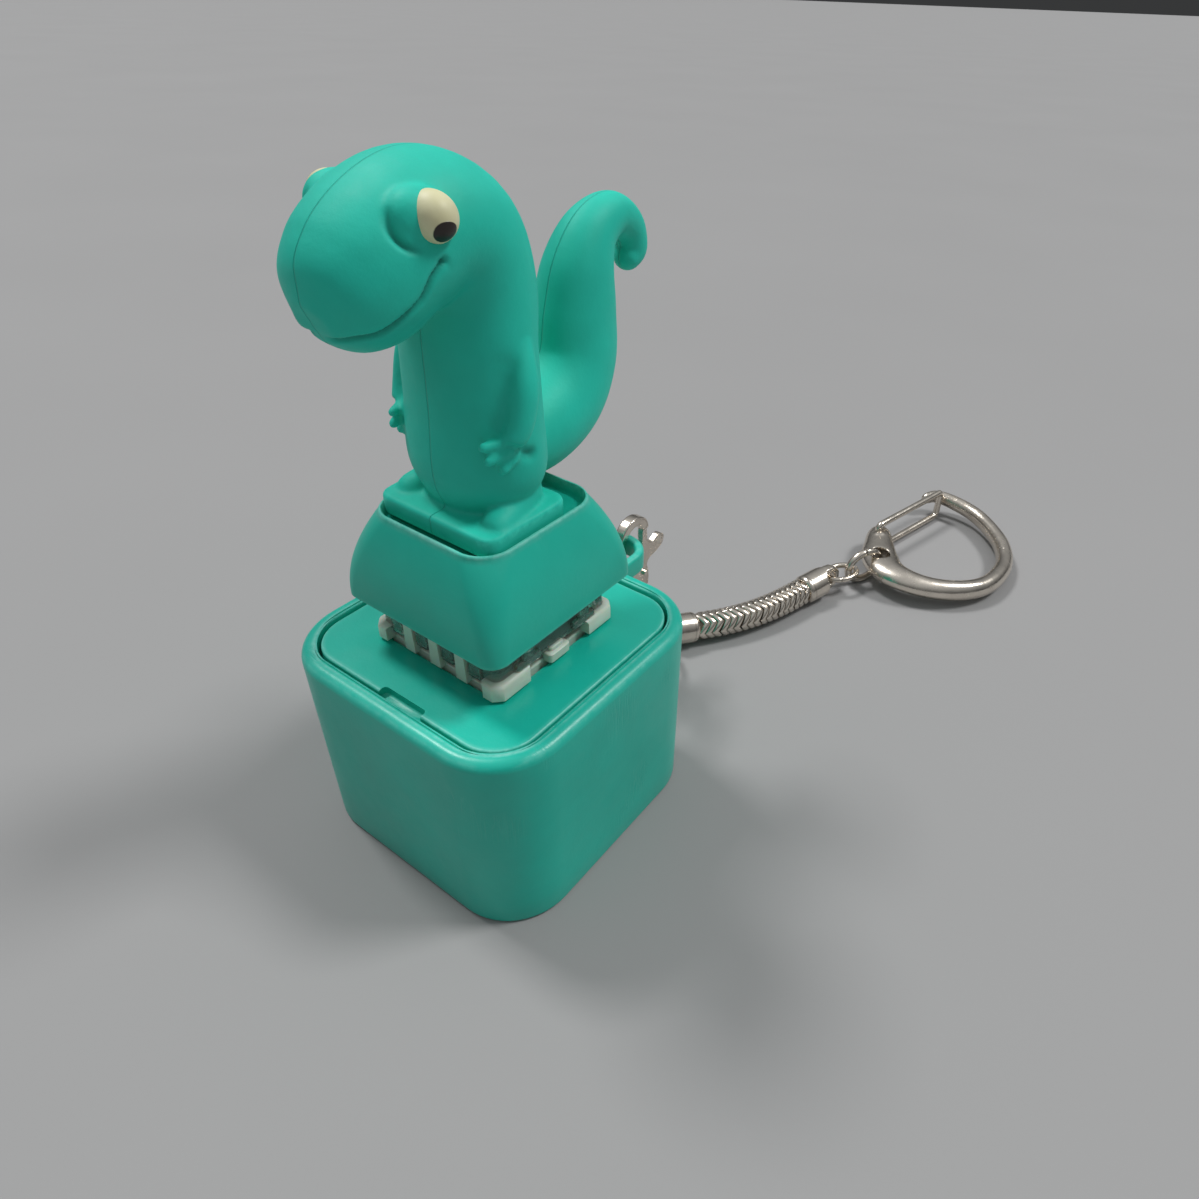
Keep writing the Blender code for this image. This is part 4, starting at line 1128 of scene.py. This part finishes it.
    def sculpt(self, piece: bpy.types.Object) -> None:
        """Press the mouth, lids and hand creases, swell the lids, and mark painted shade in them for the
        finish.
        """
        places, normals = read_points(piece)
        folded = places.copy()
        folded[:, 0] = abs(folded[:, 0])
        mouth = near(folded, self.mouth, 0.20)
        cheek = near(folded, self.cheek, 0.22)
        lower = near(folded, self.lower_lid, 0.24)
        upper = near(folded, self.upper_lid, 0.30)
        palm = near(folded, ((5.9, -1.3, 40.9), (6.1, -0.6, 40.6)), 0.45)
        armpit = near(folded, ((5.3, -1.7, 47.6), (5.5, -2.4, 45.8), (5.3, -2.9, 43.6)), 0.95)
        lip = near(folded, [(x, y - 0.25, z + 0.55) for x, y, z in self.mouth], 0.5)
        brow = near(folded, [(x + 0.1, y, z + 0.6) for x, y, z in self.upper_lid], 0.45)
        push = (0.10 * lip + 0.30 * brow - 0.42 * mouth - 0.12 * cheek - 0.50 * lower - 0.40 * upper
                - 0.5 * palm - 0.16 * armpit)
        write_points(piece, places + normals * push[:, None])
        # Painted shade in the mouth, cheek, lid, palm and armpit creases.
        painted_shade = np.clip(mouth * 0.9 + cheek * 0.2 + lower * 1.0 + upper * 0.7 + palm + armpit * 0.12, 0, 1)
        paint(piece, "painted_shade", painted_shade)
        # Paler line along the foot slab's side edges: part wear, part painted highlight.
        slab = np.exp(-((places[:, 2] - 34.85) / 0.25) ** 2) * (abs(places[:, 0]) > 5.2)
        paint(piece, "wear_and_painted_highlight", slab * 0.6)

    def eyes(self) -> None:
        """Set one painted eye in each eye bump."""
        for side, finish, label in ((1, Finish.EYE_RIGHT, "right"), (-1, Finish.EYE_LEFT, "left")):
            centre = Vector(self.eye) * Vector((side, 1, 1))
            piece = Shape().ball(centre, Vector(self.eye_radii), 56).piece(f"eye_{label}")
            fit(piece, finish, "key", "figure_rubber")


# ---------------------------------------------------------------- clasp

@dataclass
class Clasp:
    """Lobster clasp with its lever, and the jump ring below."""

    thickness: float = 1.15
    outline: tuple = ((23.15, 20.2), (22.5, 21.6), (20.7, 22.3), (18.9, 21.6), (18.0, 19.6),
                      (18.3, 16.6), (19.0, 13.6), (19.6, 10.6), (19.6, 8.0), (20.1, 6.5),
                      (21.2, 5.9), (22.3, 6.5), (22.8, 8.0), (23.0, 10.6), (23.4, 13.0),
                      (23.2, 14.6), (22.4, 15.8), (21.0, 16.0), (19.6, 16.7), (19.0, 18.8),
                      (19.25, 20.3), (19.9, 21.0), (20.7, 21.2), (21.6, 21.0), (22.25, 20.1))
    lever: tuple = ((22.35, 19.85), (23.05, 19.85), (23.35, 18.2), (24.2, 17.4), (25.6, 17.9),
                    (26.5, 17.3), (26.3, 16.3), (24.9, 15.7), (23.5, 15.3), (23.1, 13.7),
                    (22.4, 13.3), (21.75, 13.8), (21.75, 14.9), (22.1, 16.2), (22.35, 17.8))
    eye: tuple = (21.2, 7.6)
    eye_radius: float = 1.0
    slot: tuple = ((-0.5, 20.8, 12.5), (0.5, 25.0, 17.0))
    knob: tuple = (0.0, 25.85, 16.95)
    knob_radii: tuple = (0.48, 0.78, 0.72)

    def slab(self, outline: tuple, half: float) -> Shape:
        """Extrude a smoothed outline of (y, z) pairs to both sides of the plane X = 0."""
        smooth = smooth_rows(outline, 5, closed=True)
        return Shape().skin([[Vector((x, y, z)) for y, z in smooth] for x in (-half, half)])

    def build(self) -> None:
        """Make the clasp, its lever and the ring, and dress the pin and spring."""
        body = self.slab(self.outline, self.thickness / 2 + 0.05).piece("clasp_body_fine")
        eye_y, eye_z = self.eye
        cut(body, Shape().turn([(0, self.eye_radius - 0.05), (6, self.eye_radius - 0.05)],
                               Vector((-3, eye_y, eye_z)), Vector((1, 0, 0)), 32))
        cut(body, Shape().block(*self.slot))
        cast(body, 0.09, 12)
        fit(body, Finish.CASTING, "clasp", "nickel", "clasp_body")
        lever = self.slab(self.lever, 0.36).piece("clasp_lever_fine")
        cut(lever, Shape().ball(Vector(self.knob), Vector(self.knob_radii)), join=True)
        cast(lever, 0.07, 4)
        fit(lever, Finish.CASTING, "lever", "nickel", "clasp_lever")
        Finish.CASTING.redress("clasp_pin")
        Finish.SPRING.redress("clasp_spring")
        self.ring()

    def ring(self) -> None:
        """Round wire ring between the clasp's eye and the near cap's eye."""
        start, end = joint_place("jump_ring_turn"), joint_place("near_cap_turn")
        along = (end - start).normalized()
        hole = Vector(next(j["axis"] for j in frame["joints"] if j["name"] == "near_cap_turn"))
        across = Vector((1, 0, 0)) + hole.normalized() * (1 if hole.x > 0 else -1)
        across = (across - along * across.dot(along)).normalized()
        fit(wire_loop("clasp_ring_fine", (start + end) / 2, along, across, (end - start).length / 2,
                      (end - start).length / 2, 0.4, 0.9), Finish.CASTING, "jump_ring", "nickel",
            "clasp_ring")


def wire_loop(name: str, centre: Vector, along: Vector, side: Vector, half_length: float,
              half_width: float, wire: float, split: float) -> bpy.types.Object:
    """An oval loop of round wire with a fine split.

    Args:
        name: Name of the piece.
        centre: Centre of the loop.
        along: Unit vector along the loop's length.
        side: Unit vector along its width.
        half_length: Half the centreline's length.
        half_width: Half its width.
        wire: The wire's radius.
        split: Angle of the split from the length's end, in quarter turns.

    Returns:
        The loop.
    """
    turns = 96
    path = []
    for i in range(turns + 1):
        angle = math.pi / 2 * split + math.radians(1.2) + (2 * math.pi - math.radians(2.4)) * i / turns
        path.append(centre + along * half_length * math.cos(angle) + side * half_width * math.sin(angle))
    radii = [(wire, wire)] * (turns + 1)
    radii[0] = radii[-1] = (wire * 0.85, wire * 0.85)
    return Shape().tube(path, radii, along.cross(side), 20).piece(name, 50)


# ---------------------------------------------------------------- chain

@dataclass
class SnakeChain:
    """Round snake chain of zigzag links on a dark core, painted shade that shows between them, set between
    two end caps.
    """

    radius: float = 1.84
    core: float = 1.34
    segments: int = 6
    links_each: int = 3
    waves: int = 4
    sway: float = 0.42
    band: float = 0.90
    cap_radius: float = 2.0
    cap_length: float = 2.9
    eye_offset: float = 2.0
    tab: float = 1.2
    eye_hole: float = 1.02

    def build(self) -> None:
        """Make both caps and every stretch of chain."""
        bends = [joint_place(f"chain_bend_{i + 1}") for i in range(self.segments + 1)]
        self.cap("near", bends[0], joint_place("near_cap_turn"),
                 Vector(next(j["axis"] for j in frame["joints"] if j["name"] == "near_cap_turn")))
        template = self.link()
        for index, (start, end) in enumerate(zip(bends, bends[1:]), start=1):
            self.stretch(index, start, end, template)
        bpy.data.objects.remove(template, do_unlink=True)
        far_eye = joint_place("link_1_turn")
        self.cap("far", bends[-1], far_eye, (far_eye - bends[-1]).cross(UP).normalized())

    def link(self) -> bpy.types.Object:
        """One zigzag link round the Z axis, one of its points between side and top."""
        sides = 64
        profile = [(self.core - 0.1, -0.5), (self.radius - 0.12, -0.5), (self.radius - 0.02, -0.34),
                   (self.radius, 0.0), (self.radius - 0.06, 0.3), (self.radius - 0.2, 0.5),
                   (self.core - 0.1, 0.5)]
        rings = []
        for radius, offset in profile:
            ring = []
            for k in range(sides):
                angle = 2 * math.pi * k / sides
                phase = (angle * self.waves / (2 * math.pi)) % 1.0
                zigzag = abs(phase * 2 - 1) * 2 - 1
                z = offset * self.band + self.sway * zigzag
                ring.append(Vector((radius * math.cos(angle + math.pi / self.waves),
                                    radius * math.sin(angle + math.pi / self.waves), z)))
            rings.append(ring)
        return Shape().skin(rings, closed=True).piece("link_template", 45)

    def stretch(self, index: int, start: Vector, end: Vector, template: bpy.types.Object) -> None:
        """One stretch of chain between two bends: its links and its core, whose dark colour is painted shade
        between the links.
        """
        body = f"chain_{index}"
        pitch = (end - start) / self.links_each
        links = copies_along(f"chain_links_{index}", template, [start + pitch / 2, end - pitch / 2],
                             self.links_each, Finish.CASTING)
        fit(links, Finish.CASTING, body, "nickel", f"chain_segment_{index}")
        length = (end - start).length
        profile = []
        for step in range(1, 7):
            angle = math.radians(90 * step / 6)
            profile.append((-self.core * math.cos(angle), self.core * math.sin(angle)))
        profile += [(length - along, radius) for along, radius in reversed(profile)]
        core = Shape().turn(profile, start, end - start, 32).piece(f"chain_core_{index}")
        fit(core, Finish.CHAIN_SHADE_CORE, body, "nickel")

    def cap(self, label: str, bend: Vector, eye: Vector, hole: Vector) -> None:
        """One end cap: round body, flats on its end, and the eye through them."""
        axis = (eye - bend).normalized()
        start = eye - axis * (self.cap_length + self.eye_offset)
        r, body = self.cap_radius, self.cap_length
        profile = [(-0.05, r - 0.5), (0.1, r - 0.2), (0.4, r - 0.02), (0.9, r), (body, r),
                   (body + 1.4, r * 0.99), (body + 2.3, r * 0.93), (body + 3.1, r * 0.72),
                   (body + 3.6, r * 0.38)]
        piece = Shape().turn(profile, start, axis, 56).piece(f"chain_cap_{label}_fine")
        hole = (hole - axis * hole.dot(axis)).normalized()
        side = axis.cross(hole)
        for sign in (-1, 1):
            corners = []
            for along, away in ((body + 0.5, 1.35), (body + 1.1, self.tab / 2), (body + 8, self.tab / 2),
                                (body + 8, 5), (body + 0.5, 5)):
                corners.append(start + axis * along + hole * sign * away)
            cut(piece, Shape().skin([[corner + side * width for corner in corners] for width in (-5, 5)]))
        cut(piece, Shape().turn([(0, self.eye_hole), (6, self.eye_hole)], eye - hole * 3, hole, 40))
        cast(piece, 0.085, 6)
        places, _ = read_points(piece)
        # Painted shade: a dark ring near the cap's end where the chain goes in.
        ring = abs((places - np.array(start)) @ np.array(axis) - 0.75)
        paint(piece, "painted_shade", np.exp(-(ring / 0.09) ** 2) * 0.5)
        fit(piece, Finish.CASTING, f"{label}_cap", "nickel", f"chain_cap_{label}")


# ---------------------------------------------------------------- hook

@dataclass
class SnapHook:
    """Two links, the cast D-shaped frame and its wire gate."""

    rows: tuple = ((15.0, 79.9, 2.75, 0.5, 0.5), (15.1, 80.6, 2.75, 0.9, 0.8),
                   (16.3, 82.1, 2.75, 1.05, 0.9), (19.2, 82.3, 2.5, 1.15, 1.1),
                   (22.9, 81.4, 2.1, 1.2, 1.15), (26.2, 78.8, 1.9, 1.25, 1.15),
                   (29.0, 75.3, 1.8, 1.3, 1.2), (30.6, 71.4, 1.7, 1.3, 1.2),
                   (30.9, 67.3, 1.7, 1.35, 1.25), (30.1, 63.2, 1.8, 1.4, 1.3),
                   (27.9, 59.9, 2.0, 1.45, 1.4), (24.6, 57.5, 2.3, 1.45, 1.6),
                   (21.2, 56.6, 2.6, 1.45, 2.0), (18.2, 57.2, 2.75, 1.45, 2.5),
                   (16.1, 59.3, 2.75, 1.45, 2.7), (14.5, 62.6, 2.75, 1.45, 2.2),
                   (13.4, 65.4, 2.75, 1.4, 1.7), (12.9, 67.0, 2.75, 0.7, 0.7))
    hole_radius: float = 1.35
    gate_tip: tuple = (17.2, 80.0, 2.75)
    gate_half: float = 2.15
    gate_wire: float = 0.50
    gate_bend: float = 0.7

    def build(self) -> None:
        """Make the links, the frame and the gate."""
        self.links()
        self.frame_piece()
        self.gate()

    def links(self) -> None:
        """Small link through the far cap's eye and round link through the frame's hole."""
        eye, contact, hole = (joint_place(name) for name in ("link_1_turn", "link_2_turn", "hook_turn"))
        along = (hole - eye).normalized()
        side = along.cross(UP).normalized()
        upright = side.cross(along).normalized()
        length = (contact - eye).length
        small = wire_loop("ring_link_1_fine", eye + along * length / 2, along, side,
                          length / 2, 1.6, 0.4, 1.3)
        fit(small, Finish.CASTING, "link_1", "nickel", "ring_link_1")
        near_bend = contact - along * 1.1
        span = (hole - near_bend).length
        large = wire_loop("ring_link_2_fine", (near_bend + hole) / 2, along, upright,
                          span / 2, 2.2, 0.52, 1.0)
        fit(large, Finish.CASTING, "link_2", "nickel", "ring_link_2")

    def frame_piece(self) -> None:
        """Cast frame, with the lobe where the gate's wires enter and the worn upper arm."""
        hole = joint_place("hook_turn")
        pivot = joint_place("gate_open")
        smooth = smooth_rows(self.rows, 6)
        shape = Shape().tube([Vector(row[:3]) for row in smooth], [(row[3], row[4]) for row in smooth],
                             UP, 40)
        piece = shape.piece("hook_frame_fine")
        lobe = Shape().ball(Vector((14.0, 63.6, 2.75)), Vector((1.5, 1.9, 1.62)))
        cut(piece, lobe, join=True)
        drop = Vector((0, 0, 5))
        cut(piece, Shape().turn([(0, self.hole_radius), (10, self.hole_radius)], hole - drop, UP, 48))
        cast(piece, 0.13, 6)
        places, _ = read_points(piece)
        worn = near(places, ((18.6, 82.3, 3.2), (21.5, 81.8, 2.9), (23.8, 80.8, 2.8)), 0.9)
        # Painted shade round the rim of the hole and in the hollow at the gate's pivot.
        rim = np.linalg.norm(places[:, :2] - np.array(hole.xy), axis=1)
        sink = np.linalg.norm(places[:, :2] - np.array(pivot.xy), axis=1)
        paint(piece, "wear_and_painted_highlight", np.clip(worn * 0.9, 0, 1))
        paint(piece, "painted_shade", np.clip(np.exp(-((rim - self.hole_radius) / 0.12) ** 2) * 0.35
                                       + np.exp(-(sink / 0.55) ** 2) * 0.6, 0, 1))
        fit(piece, Finish.CASTING, "hook", "nickel", "d_hook_frame")

    def gate(self) -> None:
        """One wire bent into a U over the nose, its ends turned into the frame."""
        pivot, tip_place = joint_place("gate_open"), Vector(self.gate_tip)
        bend = self.gate_bend
        path = [pivot + UP * 1.0, pivot + UP * 1.2]
        for start, end, lift in ((pivot, tip_place, 1), (tip_place, pivot, -1)):
            rise = UP * lift
            run = (end - start).normalized()
            foot = start + rise * self.gate_half
            tip = end + rise * self.gate_half
            for corner, into, away in ((foot, rise, run), (tip, run, -rise)):
                centre = corner - into * bend + away * bend
                for i in range(9):
                    angle = math.radians(90 * i / 8)
                    path.append(centre - away * bend * math.cos(angle) + into * bend * math.sin(angle))
        path += [pivot - UP * 1.2, pivot - UP * 1.0]
        wire = (self.gate_wire, self.gate_wire)
        normal = (tip_place - pivot).normalized().cross(UP)
        piece = Shape().tube(path, [wire] * len(path), normal, 20).piece("wire_gate_fine", 50)
        fit(piece, Finish.CASTING, "gate", "nickel", "wire_gate")


# ---------------------------------------------------------------- studio

@dataclass
class Studio:
    """Pale board, soft lights and the camera."""

    camera_place: tuple = (46.50, -41.68, 70.02)
    camera_turn: tuple = (55.593, -1.629, 35.428)
    lens: float = 25.11
    shift: tuple = (-0.0505, -0.0330)
    board_half: float = 9000.0
    sky: float = 0.46
    horizon: float = 0.04
    lamps: tuple = (("light_left", (-0.50, 0.02, 0.86), 12, 1.38),
                    ("light_back", (0.42, 0.42, 0.80), 14, 1.50))

    def build(self) -> None:
        """Make the board, the lights and the camera."""
        self.board()
        self.lights()
        self.camera()

    def board(self) -> None:
        """Flat pale board at floor height."""
        half = self.board_half
        board = Shape().block((-half, -half, -20.0), (half, half, 0.0), 5.0, 1.0).piece("board")
        Finish.BOARD.dress(board)

    def lights(self) -> None:
        """Sky that is bright overhead and dim near the floor, and soft lights from the left and back."""
        world = bpy.data.worlds.new("studio_air")
        world.use_nodes = True
        tree = world.node_tree
        air = tree.nodes["Background"].inputs
        air["Color"].default_value = (0.95, 0.98, 1.0, 1.0)
        height = tree.nodes.new("ShaderNodeSeparateXYZ")
        tree.links.new(tree.nodes.new("ShaderNodeTexCoord").outputs["Generated"], height.inputs["Vector"])
        fade = tree.nodes.new("ShaderNodeMapRange")
        tree.links.new(height.outputs["Z"], fade.inputs["Value"])
        fade.inputs["From Min"].default_value = 0.05
        fade.inputs["From Max"].default_value = 0.85
        fade.inputs["To Min"].default_value = self.horizon
        fade.inputs["To Max"].default_value = self.sky
        tree.links.new(fade.outputs["Result"], air["Strength"])
        bpy.context.scene.world = world
        for name, place, spread, strength in self.lamps:
            data = bpy.data.lights.new(name, "SUN")
            data.angle = math.radians(spread)
            data.energy = strength
            light = bpy.data.objects.new(name, data)
            light.rotation_euler = Vector(place).to_track_quat("Z", "Y").to_euler()
            bpy.context.collection.objects.link(light)

    def camera(self) -> None:
        """Camera that looks down at the figure's face from its left front."""
        data = bpy.data.cameras.new("camera")
        data.lens = self.lens
        data.sensor_width = 36.0
        data.shift_x, data.shift_y = self.shift
        data.clip_start = 0.001
        data.clip_end = 10.0
        camera = bpy.data.objects.new("camera", data)
        camera.location = Vector(self.camera_place) * MM
        camera.rotation_euler = [math.radians(angle) for angle in self.camera_turn]
        bpy.context.collection.objects.link(camera)
        bpy.context.scene.camera = camera


def main() -> None:
    """Build everything in order and note the sizes."""
    logging.basicConfig(level=logging.INFO, format="%(name)s: %(message)s")
    bpy.context.scene.view_settings.view_transform = "Standard"
    for assembly in (Studio(), Case(), KeySwitch(), Keycap(), Figure(), Clasp(), SnakeChain(), SnapHook()):
        LOG.info("building %s", type(assembly).__name__)
        assembly.build()


if __name__ == "__main__":
    main()
